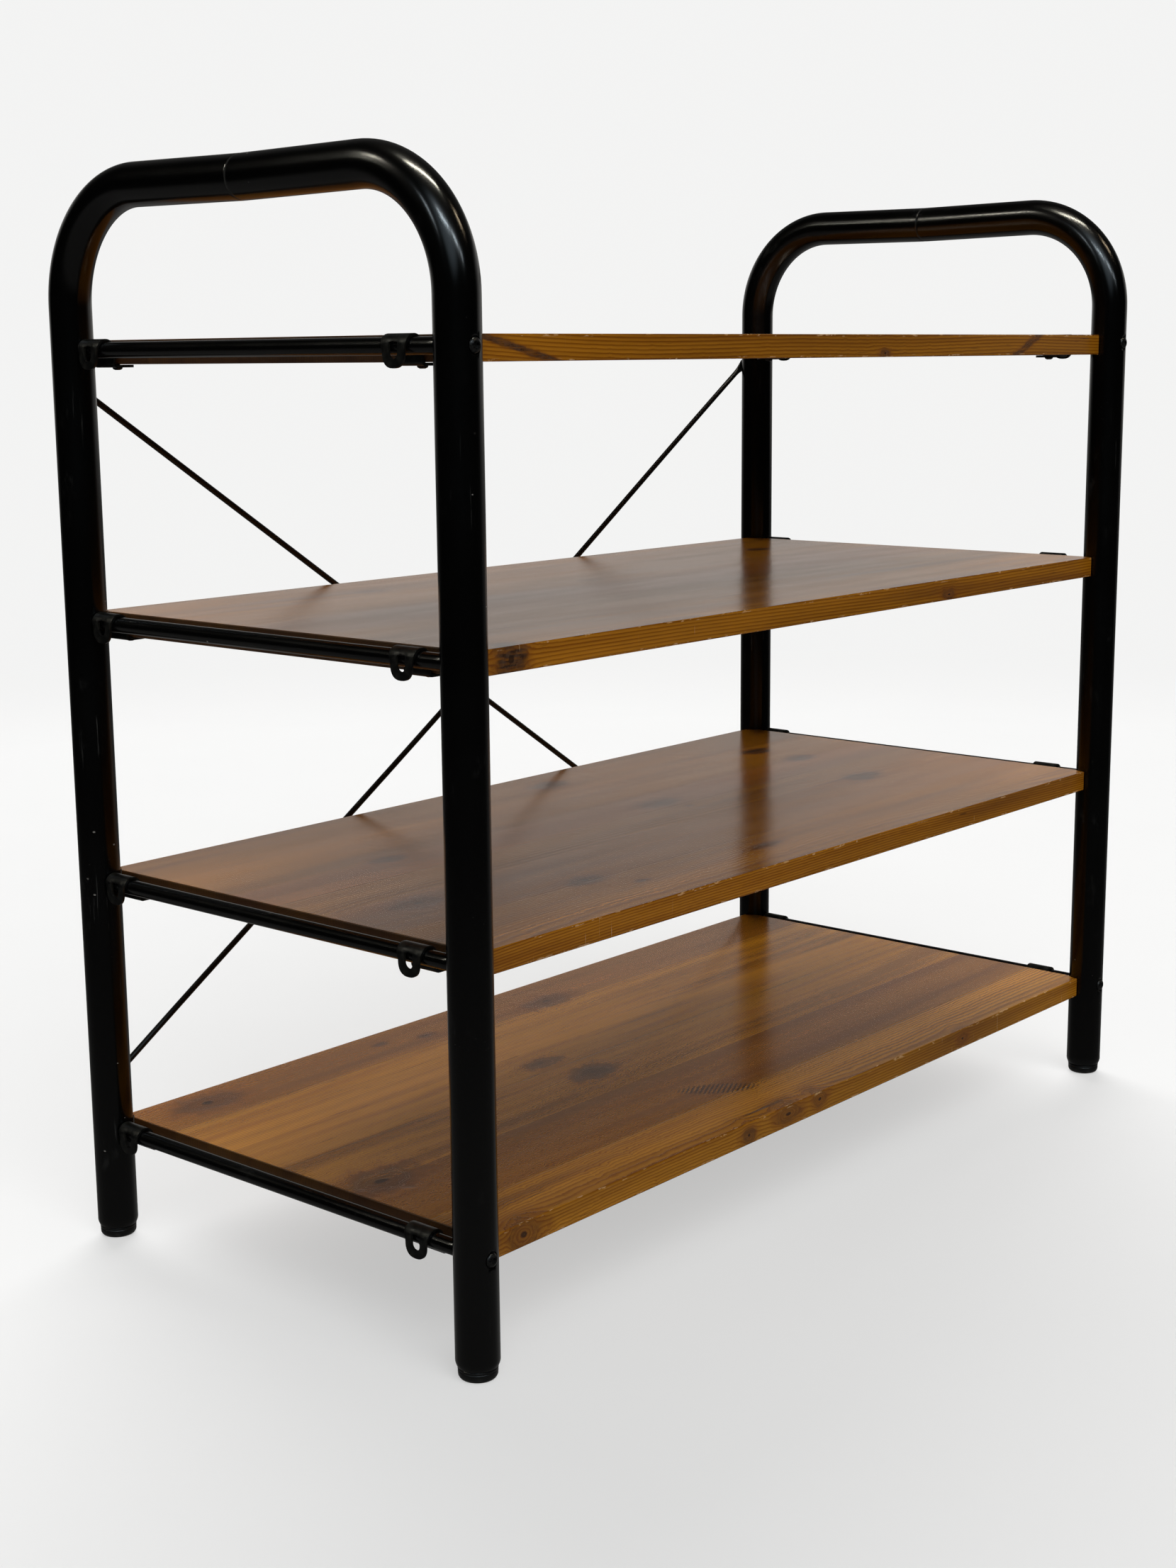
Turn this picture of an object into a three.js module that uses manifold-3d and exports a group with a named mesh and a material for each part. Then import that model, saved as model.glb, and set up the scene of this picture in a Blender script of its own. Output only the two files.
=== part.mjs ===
// Free-standing bookcase with adjustable shelves: four bent steel tubes joined in pairs into two side
// arches, two cross rods per shelf, and edge-glued pine boards that hook over the rods with steel clips.
// Units are millimetres. +X runs to the right, +Y to the back, +Z up. The origin is on the floor at the
// middle of the footprint.

import * as THREE from 'three';
import { mergeVertices } from 'three/addons/utils/BufferGeometryUtils.js';
import Module from 'manifold-3d';

const wasm = await Module();
wasm.setup();

// ---------------------------------------------------------------- driving dimensions

const GAP = 0.3; // clearance kept between pieces that touch

// side arches
const POST_X = 434; // post axes, left and right of the middle
const POST_Y = 202.5; // post axes, in front of and behind the middle
const TUBE_RADIUS = 16;
const TUBE_WALL = 1.5;
const TUBE_SIDES = 16;
const TUBE_INNER = TUBE_RADIUS - TUBE_WALL;
const BEND_RADIUS = 85; // to the tube's centreline
const BEND_START = 739; // height where the straight leg ends
const BEND_STEPS = 8;
const ARM_DROOP = THREE.MathUtils.degToRad(0.7); // the top arms fall slightly towards the seam
const SEAM_HALF_GAP = 0.35;
const LEG_BOTTOM = 9;
const SWAGE_HEIGHT = 4.5; // the leg's mouth is drawn in over this height
const SWAGE_DEPTH = 1.5;
const SLEEVE_RADIUS = 13.6;
const SLEEVE_WALL = 2;
const SLEEVE_LENGTH = 60;

// foot caps
const CAP_RADIUS = 14.4;
const CAP_STEM_RADIUS = 12.4;
const CAP_STEM_TOP = 24;
const CAP_SIDES = 16;

// shelves
const SHELF_TOPS = [98, 303.5, 509, 714.5];
const SHELF_THICKNESS = 18;
const SHELF_HALF_LENGTH = 422.5;
const SHELF_HALF_DEPTH = 202;
const SHELF_EDGE_ROUND = 1.2;
const NOTCH_RADIUS = TUBE_RADIUS + 0.8; // relief around each post

// cross rods under the shelf ends
const ROD_RADIUS = 6;
const ROD_BELOW_TOP = 7.5; // rod axis below the shelf's upper face
const ROD_END_Y = 192.5;
const ROD_HOLE_RADIUS = 6.5;
const ROD_SIDES = 12;
const BOLT_SIDES = 10;
const DIMPLE_SIDES = 12;

// bolts through the posts into the ends of the lowest and highest rods
const ROD_BOLT_SHANK = 3;
const ROD_BOLT_HOLE = 3.4;
const ROD_BOLT_HEAD_RADIUS = 5.25;
const ROD_BOLT_HEAD_HEIGHT = 2.3;
const DIMPLE_RADIUS = 6; // each bolt's head is sunk in a dimple pressed into the post
const DIMPLE_DEPTH = 1.3; // below the crest of the post
const DIMPLE_BACK_RADIUS = 7; // the wall pushed inwards behind the dimple
const DIMPLE_BACK_DEPTH = 3;
const ROD_BOLT_REACH = 12; // length inside the rod
const ROD_BORE_DEPTH = 16;
const ROD_SOCKET_RADIUS = 2.3;
const ROD_BOLT_SEAT = POST_Y + TUBE_RADIUS - DIMPLE_DEPTH + GAP; // underside of the head, from the middle
const BOLTED_SHELVES = [0, 3];

// back braces
const BRACE_TOP = 690;
const BRACE_BOTTOM = 114.5;
const BRACE_RADIUS = 2.5;
const BRACE_SIDES = 8;
const BRACE_EYE_HALF_WIDTH = 5.5;
const BRACE_EYE_HALF_THICKNESS = 1;
const BRACE_EYE_REACH = 5.5; // from the bolt's axis to the tip of the flattened end
const BRACE_Y = POST_Y + TUBE_RADIUS + GAP + BRACE_EYE_HALF_THICKNESS;
const BRACE_BOW = 5.6; // the lower-lying brace passes in front of the other by this much
const BRACE_BOLT_SHANK = 2.3;
const BRACE_BOLT_HOLE = 2.7;
const BRACE_BOLT_HEAD_RADIUS = 4.5;
const BRACE_BOLT_HEAD_HEIGHT = 1.9;
const BRACE_BOLT_SOCKET_RADIUS = 1.9;
const BRACE_BOLT_REACH = 9;

// shelf clips
const CLIP_STEEL = 2;
const CLIP_INNER_RADIUS = ROD_RADIUS + GAP;
const CLIP_OUTER_RADIUS = CLIP_INNER_RADIUS + CLIP_STEEL;
const CLIP_STRAP_WIDTH = 24;
const CLIP_TAB_WIDTH = 21.5;
const CLIP_TAB_DROP = 14.3; // tip of the outer tab below the rod's axis
const CLIP_PLATE_REACH = 31; // tip of the base plate, inboard of the rod's axis
const CLIP_SLOT_WIDTH = 8.3;
const CLIP_SLOT_TOP = 2.7;
const CLIP_SLOT_BOTTOM = -7.5;
const CLIP_FRONT_Y = -151.5;
const CLIP_BACK_Y = 173.5;
const SCREW_INBOARD = 19; // screw axis, inboard of the rod's axis
const SCREW_HEAD_RADIUS = 3.8;
const SCREW_HEAD_HEIGHT = 1.9;
const SCREW_SHANK_RADIUS = 1.75;
const SCREW_REACH = 13;
const PILOT_RADIUS = 2.2;
const PILOT_DEPTH = 14;

// ---------------------------------------------------------------- materials

const blackPaint = () => new THREE.MeshStandardMaterial({ color: 0x0b0b0b, roughness: 0.22, metalness: 0.1 });
const blackPlastic = () => new THREE.MeshStandardMaterial({ color: 0x121212, roughness: 0.5, metalness: 0 });
const clipSteel = () => new THREE.MeshStandardMaterial({ color: 0x34322b, roughness: 0.4, metalness: 0.8 });
const darkBolt = () => new THREE.MeshStandardMaterial({ color: 0x141414, roughness: 0.35, metalness: 0.6 });
const sleeveSteel = () => new THREE.MeshStandardMaterial({ color: 0x6c6c6a, roughness: 0.45, metalness: 0.9 });
const varnishedPine = () => new THREE.MeshStandardMaterial({ color: 0xb06a26, roughness: 0.35, metalness: 0 });

// ---------------------------------------------------------------- solids

// a closed three.js geometry as a manifold, so that it can be cut and joined
function solid(geometry) {
  const bare = geometry.clone();
  bare.deleteAttribute('normal');
  bare.deleteAttribute('uv');
  const merged = mergeVertices(bare, 1e-4);
  return new wasm.Manifold(new wasm.Mesh({
    numProp: 3,
    vertProperties: new Float32Array(merged.attributes.position.array),
    triVerts: new Uint32Array(merged.index.array),
  }));
}

function geometryOf(manifold) {
  const mesh = manifold.getMesh();
  const geometry = new THREE.BufferGeometry();
  geometry.setAttribute('position', new THREE.BufferAttribute(new Float32Array(mesh.vertProperties), 3));
  geometry.setIndex(new THREE.BufferAttribute(new Uint32Array(mesh.triVerts), 1));
  geometry.computeVertexNormals();
  return geometry;
}

// a solid of revolution about +Z from [radius, height] pairs
function turned(profile, sides) {
  const points = profile.map(([radius, height]) => new THREE.Vector2(radius, height));
  return new THREE.LatheGeometry(points, sides).rotateX(Math.PI / 2);
}

// a cylinder about +Z from one height to another
function cylinder(radius, low, high, sides) {
  return turned([[0, low], [radius, low], [radius, high], [0, high]], sides);
}

// a geometry that stands on +Z, laid along +Y
const alongY = (geometry) => geometry.rotateX(-Math.PI / 2);

// an outline in the YZ plane, given depth along +X from one place to another
function alongX(shape, from, to, curveSegments) {
  const slab = new THREE.ExtrudeGeometry(shape, { depth: to - from, bevelEnabled: false, curveSegments });
  const turn = new THREE.Matrix4().makeBasis(
    new THREE.Vector3(0, 1, 0), new THREE.Vector3(0, 0, 1), new THREE.Vector3(1, 0, 0));
  return slab.applyMatrix4(turn).translate(from, 0, 0);
}

function named(name, geometry, material) {
  const mesh = new THREE.Mesh(geometry, material);
  mesh.name = name;
  return mesh;
}

// ---------------------------------------------------------------- bent tube

// The centreline of one half arch, in the plane x = 0: up the leg, round the bend and along the top arm.
// The leg stands at y = 0 and the arm runs towards +y. Points are asked for at even shares of the
// stations listed here, so a long straight stretch takes a single step.
class HalfArchLine extends THREE.Curve {
  constructor() {
    super();
    const bendAngle = Math.PI / 2 + ARM_DROOP;
    this.stations = [0, 0.3, 0.65, 1].map((share) => ({ y: 0, z: LEG_BOTTOM + share * SWAGE_HEIGHT, angle: 0 }));
    for (let step = 0; step <= BEND_STEPS; step++) {
      const angle = (bendAngle * step) / BEND_STEPS;
      this.stations.push({
        y: BEND_RADIUS * (1 - Math.cos(angle)),
        z: BEND_START + BEND_RADIUS * Math.sin(angle),
        angle,
      });
    }
    const bendEnd = this.stations.at(-1);
    const armLength = (POST_Y - bendEnd.y) / Math.cos(ARM_DROOP) - SEAM_HALF_GAP;
    this.stations.push({
      y: bendEnd.y + armLength * Math.cos(ARM_DROOP),
      z: bendEnd.z - armLength * Math.sin(ARM_DROOP),
      angle: bendAngle,
    });
    this.seamHeight = this.stations.at(-1).z;
  }

  get steps() {
    return this.stations.length - 1;
  }

  stationAt(share) {
    return this.stations[Math.round(share * this.steps)];
  }

  getPoint(share, target = new THREE.Vector3()) {
    const station = this.stationAt(share);
    return target.set(0, station.y, station.z);
  }

  getPointAt(share, target) {
    return this.getPoint(share, target);
  }

  getTangentAt(share, target = new THREE.Vector3()) {
    const { angle } = this.stationAt(share);
    return target.set(0, Math.sin(angle), Math.cos(angle));
  }
}

const halfArchLine = new HalfArchLine();

function circleShape(radius) {
  const shape = new THREE.Shape();
  shape.absarc(0, 0, radius, 0, Math.PI * 2, false);
  return shape;
}

function sweptAlongHalfArch(radius) {
  return new THREE.ExtrudeGeometry(circleShape(radius), {
    extrudePath: halfArchLine,
    steps: halfArchLine.steps,
    curveSegments: TUBE_SIDES / 2,
  });
}

// The tube's mouth is drawn in evenly towards the leg's axis.
function drawInMouth(geometry) {
  const swageTop = LEG_BOTTOM + SWAGE_HEIGHT;
  const position = geometry.attributes.position;
  for (let i = 0; i < position.count; i++) {
    const drop = (swageTop - position.getZ(i)) / SWAGE_HEIGHT;
    if (drop <= 0) continue;
    const radius = Math.hypot(position.getX(i), position.getY(i));
    const scale = (radius - SWAGE_DEPTH * drop ** 1.5) / radius;
    position.setXYZ(i, position.getX(i) * scale, position.getY(i) * scale, position.getZ(i));
  }
  return geometry;
}

// A half arch at y = 0 with its arm towards +y: holes for the rods face +y, bolt holes face -y. A back
// half arch also has the braces' bolt holes.
function halfArch(hasBraces) {
  const outer = solid(drawInMouth(sweptAlongHalfArch(TUBE_RADIUS)));
  const bore = solid(drawInMouth(sweptAlongHalfArch(TUBE_INNER)));
  let tube = outer.subtract(endless(bore));
  for (const top of SHELF_TOPS) {
    const hole = alongY(cylinder(ROD_HOLE_RADIUS, 0, TUBE_RADIUS + 4, ROD_SIDES));
    tube = tube.subtract(solid(hole.translate(0, 0, top - ROD_BELOW_TOP)));
  }
  for (const shelf of BOLTED_SHELVES) {
    const height = SHELF_TOPS[shelf] - ROD_BELOW_TOP;
    const back = alongY(cylinder(
      DIMPLE_BACK_RADIUS, -TUBE_RADIUS + DIMPLE_DEPTH + 0.4, -TUBE_RADIUS + DIMPLE_BACK_DEPTH, DIMPLE_SIDES));
    const dimple = alongY(cylinder(
      DIMPLE_RADIUS, -TUBE_RADIUS - 4, -TUBE_RADIUS + DIMPLE_DEPTH, DIMPLE_SIDES));
    const hole = alongY(cylinder(ROD_BOLT_HOLE, -TUBE_RADIUS - 4, 0, BOLT_SIDES));
    tube = tube.add(solid(back.translate(0, 0, height)))
      .subtract(solid(dimple.translate(0, 0, height)))
      .subtract(solid(hole.translate(0, 0, height)));
  }
  if (hasBraces) {
    for (const height of [BRACE_BOTTOM, BRACE_TOP]) {
      const hole = alongY(cylinder(BRACE_BOLT_HOLE, -TUBE_RADIUS - 4, 0, BOLT_SIDES));
      tube = tube.subtract(solid(hole.translate(0, 0, height)));
    }
  }
  return tube;
}

// The bore, lengthened a little past both mouths so that the tube is open at both ends.
function endless(bore) {
  const mouthRadius = TUBE_INNER - SWAGE_DEPTH;
  const foot = solid(cylinder(mouthRadius, LEG_BOTTOM - 1, LEG_BOTTOM + 0.5, TUBE_SIDES));
  const seam = solid(alongY(cylinder(TUBE_INNER, -2, 2, TUBE_SIDES))
    .rotateX(-ARM_DROOP)
    .translate(0, POST_Y - SEAM_HALF_GAP, halfArchLine.seamHeight));
  return bore.add(foot).add(seam);
}

function sleeve() {
  const half = SLEEVE_LENGTH / 2;
  const inner = SLEEVE_RADIUS - SLEEVE_WALL;
  return alongY(turned(
    [[SLEEVE_RADIUS, -half], [SLEEVE_RADIUS, half], [inner, half], [inner, -half], [SLEEVE_RADIUS, -half]], 16));
}

function footCap() {
  return turned([
    [0, 0], [10.5, 0], [12.9, 0.9], [14.1, 2.8], [CAP_RADIUS, 5],
    [CAP_RADIUS, LEG_BOTTOM - GAP], [CAP_STEM_RADIUS, LEG_BOTTOM - GAP],
    [CAP_STEM_RADIUS, CAP_STEM_TOP - 1], [CAP_STEM_RADIUS - 1, CAP_STEM_TOP], [0, CAP_STEM_TOP],
  ], CAP_SIDES);
}

// ---------------------------------------------------------------- rods and bolts

function crossRod(isBolted) {
  const chamfer = 0.6;
  let rod = solid(alongY(turned([
    [0, -ROD_END_Y], [ROD_RADIUS - chamfer, -ROD_END_Y], [ROD_RADIUS, -ROD_END_Y + chamfer],
    [ROD_RADIUS, ROD_END_Y - chamfer], [ROD_RADIUS - chamfer, ROD_END_Y], [0, ROD_END_Y],
  ], ROD_SIDES)));
  if (isBolted) {
    for (const end of [-1, 1]) {
      const bore = alongY(cylinder(ROD_BOLT_HOLE, -ROD_BORE_DEPTH, ROD_BORE_DEPTH, BOLT_SIDES));
      rod = rod.subtract(solid(bore.translate(0, end * ROD_END_Y, 0)));
    }
  }
  return rod;
}

// A round-headed socket bolt about +Z: the head is above z = 0 and the shank below.
function socketBolt({ shank, length, headRadius, headHeight, socketRadius }) {
  const bolt = solid(turned([
    [0, -length], [shank - 0.5, -length], [shank, -length + 0.7], [shank, 0],
    [headRadius, 0], [headRadius, headHeight * 0.3], [headRadius * 0.82, headHeight * 0.82],
    [headRadius * 0.55, headHeight], [0, headHeight],
  ], BOLT_SIDES));
  const socket = solid(cylinder(socketRadius, headHeight * 0.4, headHeight + 1, 6));
  return geometryOf(bolt.subtract(socket));
}

const rodBolt = socketBolt({
  shank: ROD_BOLT_SHANK,
  length: ROD_BOLT_SEAT - ROD_END_Y + ROD_BOLT_REACH,
  headRadius: ROD_BOLT_HEAD_RADIUS,
  headHeight: ROD_BOLT_HEAD_HEIGHT,
  socketRadius: ROD_SOCKET_RADIUS,
});

const braceBolt = socketBolt({
  shank: BRACE_BOLT_SHANK,
  length: BRACE_BOLT_REACH,
  headRadius: BRACE_BOLT_HEAD_RADIUS,
  headHeight: BRACE_BOLT_HEAD_HEIGHT,
  socketRadius: BRACE_BOLT_SOCKET_RADIUS,
});

// ---------------------------------------------------------------- braces

// A round rod with both ends hammered flat and drilled. It is drawn along +X, centred at the origin,
// with the flat ends facing +Y, and bows towards -Y by `bow` at its middle.
function brace(bow) {
  const halfSpan = Math.hypot(POST_X, (BRACE_TOP - BRACE_BOTTOM) / 2);
  const halfLength = halfSpan + BRACE_EYE_REACH;
  // distance from the tip, half width in Z, half thickness in Y
  const flattened = [
    [0, 2.2, BRACE_EYE_HALF_THICKNESS],
    [1.2, 4.1, BRACE_EYE_HALF_THICKNESS],
    [3, 5.1, BRACE_EYE_HALF_THICKNESS],
    [BRACE_EYE_REACH, BRACE_EYE_HALF_WIDTH, BRACE_EYE_HALF_THICKNESS],
    [10, 5.1, BRACE_EYE_HALF_THICKNESS],
    [15, 3.6, 1.6],
    [21, BRACE_RADIUS, BRACE_RADIUS],
  ];
  const bowedSteps = 8;
  const stations = flattened.map(([reach, width, thickness]) => ({ x: reach - halfLength, width, thickness }));
  const roundStart = stations.at(-1).x;
  for (let step = 1; step < bowedSteps; step++) {
    const x = roundStart * (1 - (2 * step) / bowedSteps);
    stations.push({ x, width: BRACE_RADIUS, thickness: BRACE_RADIUS });
  }
  const mirrored = flattened.map(([reach, width, thickness]) => ({ x: halfLength - reach, width, thickness }));
  stations.push(...mirrored.reverse());
  const bar = new THREE.CylinderGeometry(1, 1, stations.length - 1, BRACE_SIDES, stations.length - 1);
  const position = bar.attributes.position;
  for (let i = 0; i < position.count; i++) {
    const station = stations[Math.round(position.getY(i) + (stations.length - 1) / 2)];
    const fromMiddle = Math.min(1, Math.abs(station.x / roundStart));
    const bowed = -bow * Math.cos((fromMiddle * Math.PI) / 2) ** 2;
    position.setXYZ(i,
      station.x,
      bowed - position.getX(i) * station.thickness,
      position.getZ(i) * station.width);
  }
  let rod = solid(bar);
  for (const end of [-1, 1]) {
    const hole = alongY(cylinder(BRACE_BOLT_HOLE, -4, 4, BOLT_SIDES));
    rod = rod.subtract(solid(hole.translate(end * halfSpan, 0, 0)));
  }
  return geometryOf(rod);
}

// ---------------------------------------------------------------- shelf

function shelfOutline() {
  const shape = new THREE.Shape();
  const reachX = Math.sqrt(NOTCH_RADIUS ** 2 - (POST_Y - SHELF_HALF_DEPTH) ** 2);
  const reachY = Math.sqrt(NOTCH_RADIUS ** 2 - (POST_X - SHELF_HALF_LENGTH) ** 2);
  for (const quarter of [0, 1, 2, 3]) {
    const sideX = quarter === 0 || quarter === 3 ? 1 : -1;
    const sideY = quarter < 2 ? 1 : -1;
    const atEnd = Math.atan2(-sideY * reachY, sideX * (SHELF_HALF_LENGTH - POST_X));
    const atEdge = Math.atan2(sideY * (SHELF_HALF_DEPTH - POST_Y), -sideX * reachX);
    const startsAtEnd = quarter % 2 === 0;
    shape.absarc(sideX * POST_X, sideY * POST_Y, NOTCH_RADIUS,
      startsAtEnd ? atEnd : atEdge, startsAtEnd ? atEdge : atEnd, true);
  }
  return shape;
}

// A board whose upper face is at z = 0. Pilot holes for the clips' screws open in its lower face.
function shelf() {
  const board = new THREE.ExtrudeGeometry(shelfOutline(), {
    depth: SHELF_THICKNESS - 2 * SHELF_EDGE_ROUND,
    bevelThickness: SHELF_EDGE_ROUND,
    bevelSize: SHELF_EDGE_ROUND,
    bevelOffset: -SHELF_EDGE_ROUND,
    bevelSegments: 1,
    curveSegments: 4,
  }).translate(0, 0, SHELF_EDGE_ROUND - SHELF_THICKNESS);
  let result = solid(board);
  for (const side of [-1, 1]) {
    for (const y of [CLIP_FRONT_Y, CLIP_BACK_Y]) {
      const pilot = cylinder(PILOT_RADIUS, -SHELF_THICKNESS - 2, -SHELF_THICKNESS + PILOT_DEPTH, 8);
      result = result.subtract(solid(pilot.translate(side * (POST_X - SCREW_INBOARD), y, 0)));
    }
  }
  return geometryOf(result);
}

// ---------------------------------------------------------------- clip

// A pressed strap that hooks over the rod: a round-ended tab hangs outside it, and the inner leg turns
// under the board as a base plate, held by one wood screw. The rod's axis is the Y axis here and the
// board lies towards +X.
function clip() {
  const plateTop = ROD_BELOW_TOP - SHELF_THICKNESS - GAP;
  const plateBottom = plateTop - CLIP_STEEL;
  const bendInner = 1.2;
  const bendOuter = bendInner + CLIP_STEEL;
  const bendX = CLIP_OUTER_RADIUS + bendInner;
  const bendZ = plateTop + bendInner;
  const ribbon = new THREE.Shape();
  ribbon.moveTo(-CLIP_OUTER_RADIUS, -CLIP_TAB_DROP);
  ribbon.lineTo(-CLIP_INNER_RADIUS, -CLIP_TAB_DROP);
  ribbon.absarc(0, 0, CLIP_INNER_RADIUS, Math.PI, 0, true);
  ribbon.absarc(bendX, bendZ, bendOuter, Math.PI, Math.PI * 1.5, false);
  ribbon.lineTo(CLIP_PLATE_REACH, plateBottom);
  ribbon.lineTo(CLIP_PLATE_REACH, plateTop);
  ribbon.absarc(bendX, bendZ, bendInner, Math.PI * 1.5, Math.PI, true);
  ribbon.absarc(0, 0, CLIP_OUTER_RADIUS, 0, Math.PI, false);
  const strap = new THREE.ExtrudeGeometry(ribbon, {
    depth: CLIP_STRAP_WIDTH,
    bevelEnabled: false,
    curveSegments: 3,
  }).rotateX(Math.PI / 2).translate(0, CLIP_STRAP_WIDTH / 2, 0);

  const halfStrap = CLIP_STRAP_WIDTH / 2;
  const halfTab = CLIP_TAB_WIDTH / 2;
  const tabOutline = new THREE.Shape();
  tabOutline.moveTo(halfStrap, 0);
  tabOutline.lineTo(halfStrap, CLIP_OUTER_RADIUS + 1);
  tabOutline.lineTo(-halfStrap, CLIP_OUTER_RADIUS + 1);
  tabOutline.lineTo(-halfStrap, 0);
  tabOutline.absarc(0, -CLIP_TAB_DROP + halfTab, halfTab, Math.PI, Math.PI * 2, false);
  const tabSide = solid(alongX(tabOutline, -CLIP_OUTER_RADIUS - 1, 0.5, 3));

  const plateOutline = new THREE.Shape();
  plateOutline.moveTo(0, -halfStrap);
  plateOutline.absarc(CLIP_PLATE_REACH - halfStrap, 0, halfStrap, -Math.PI / 2, Math.PI / 2, false);
  plateOutline.lineTo(0, halfStrap);
  const plateSide = solid(new THREE.ExtrudeGeometry(plateOutline, {
    depth: CLIP_OUTER_RADIUS + 1 - plateBottom + 1,
    bevelEnabled: false,
    curveSegments: 3,
  }).translate(0, 0, plateBottom - 1));

  const halfSlot = CLIP_SLOT_WIDTH / 2;
  const slotOutline = new THREE.Shape();
  slotOutline.moveTo(halfSlot, CLIP_SLOT_TOP);
  slotOutline.lineTo(-halfSlot, CLIP_SLOT_TOP);
  slotOutline.absarc(0, CLIP_SLOT_BOTTOM + halfSlot, halfSlot, Math.PI, Math.PI * 2, false);
  const slot = solid(alongX(slotOutline, -CLIP_OUTER_RADIUS - 1, -3, 3));

  const screw = solid(turned([
    [0, plateBottom - SCREW_HEAD_HEIGHT],
    [SCREW_HEAD_RADIUS * 0.6, plateBottom - SCREW_HEAD_HEIGHT],
    [SCREW_HEAD_RADIUS, plateBottom - 0.6],
    [SCREW_HEAD_RADIUS, plateBottom + 0.1],
    [SCREW_SHANK_RADIUS, plateBottom + 0.1],
    [SCREW_SHANK_RADIUS, plateTop + SCREW_REACH - 3],
    [0, plateTop + SCREW_REACH],
  ], 8).translate(SCREW_INBOARD, 0, 0));

  const shaped = solid(strap).intersect(tabSide.add(plateSide));
  return geometryOf(shaped.subtract(slot).add(screw));
}

// ---------------------------------------------------------------- assembly

const bookcase = new THREE.Group();

const sides = [{ name: 'left', sign: -1 }, { name: 'right', sign: 1 }];
const faces = [{ name: 'front', sign: -1 }, { name: 'back', sign: 1 }];

const plainHalfArch = geometryOf(halfArch(false));
const bracedHalfArch = geometryOf(halfArch(true));
const sleeveGeometry = sleeve();
const capGeometry = footCap();

for (const side of sides) {
  for (const face of faces) {
    const corner = new THREE.Group();
    corner.position.set(side.sign * POST_X, face.sign * POST_Y, 0);
    // the arm points to the middle of the arch, so the back half is turned about
    corner.rotation.z = face.sign > 0 ? Math.PI : 0;
    const tube = face.sign > 0 ? bracedHalfArch : plainHalfArch;
    corner.add(named(`arch_tube_${face.name}_${side.name}`, tube, blackPaint()));
    corner.add(named(`foot_cap_${face.name}_${side.name}`, capGeometry, blackPlastic()));
    for (const shelfIndex of BOLTED_SHELVES) {
      const level = shelfIndex === 0 ? 'bottom' : 'top';
      const bolt = named(`rod_bolt_${level}_${face.name}_${side.name}`, rodBolt, darkBolt());
      bolt.position.set(0, POST_Y - ROD_BOLT_SEAT, SHELF_TOPS[shelfIndex] - ROD_BELOW_TOP);
      bolt.rotation.x = Math.PI / 2;
      corner.add(bolt);
    }
    bookcase.add(corner);
  }
  const archSleeve = named(`arch_sleeve_${side.name}`, sleeveGeometry, sleeveSteel());
  archSleeve.position.set(side.sign * POST_X, 0, halfArchLine.seamHeight);
  bookcase.add(archSleeve);
}

const plainRod = geometryOf(crossRod(false));
const boltedRod = geometryOf(crossRod(true));
const shelfGeometry = shelf();
const clipGeometry = clip();

SHELF_TOPS.forEach((top, index) => {
  const number = index + 1;
  const level = new THREE.Group();
  level.position.z = top;
  level.add(named(`shelf_${number}`, shelfGeometry, varnishedPine()));
  for (const side of sides) {
    const rod = named(`cross_rod_${number}_${side.name}`,
      BOLTED_SHELVES.includes(index) ? boltedRod : plainRod, blackPaint());
    rod.position.set(side.sign * POST_X, 0, -ROD_BELOW_TOP);
    level.add(rod);
    for (const face of faces) {
      const hook = named(`shelf_clip_${number}_${face.name}_${side.name}`, clipGeometry, clipSteel());
      hook.position.set(side.sign * POST_X, face.sign < 0 ? CLIP_FRONT_Y : CLIP_BACK_Y, -ROD_BELOW_TOP);
      hook.rotation.z = side.sign > 0 ? Math.PI : 0;
      level.add(hook);
    }
  }
  bookcase.add(level);
});

const braceTilt = Math.atan2(BRACE_TOP - BRACE_BOTTOM, 2 * POST_X);
const braces = [
  { name: 'brace_rising_left', bow: 0, tilt: braceTilt },
  { name: 'brace_rising_right', bow: BRACE_BOW, tilt: -braceTilt },
];
for (const { name, bow, tilt } of braces) {
  const rod = named(name, brace(bow), blackPaint());
  rod.position.set(0, BRACE_Y, (BRACE_TOP + BRACE_BOTTOM) / 2);
  rod.rotation.y = tilt;
  bookcase.add(rod);
}

for (const side of sides) {
  for (const [level, height] of [['bottom', BRACE_BOTTOM], ['top', BRACE_TOP]]) {
    const bolt = named(`brace_bolt_${level}_${side.name}`, braceBolt, darkBolt());
    bolt.position.set(side.sign * POST_X, BRACE_Y + BRACE_EYE_HALF_THICKNESS + GAP, height);
    bolt.rotation.x = -Math.PI / 2;
    bookcase.add(bolt);
  }
}

export default bookcase;
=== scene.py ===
"""A bookcase of black tubular steel arches and varnished pine boards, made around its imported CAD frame."""

import random
from math import asin, atan2, cos, exp, pi, radians, sin, sqrt

import bmesh
import bpy
from mathutils import Matrix, Vector


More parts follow.
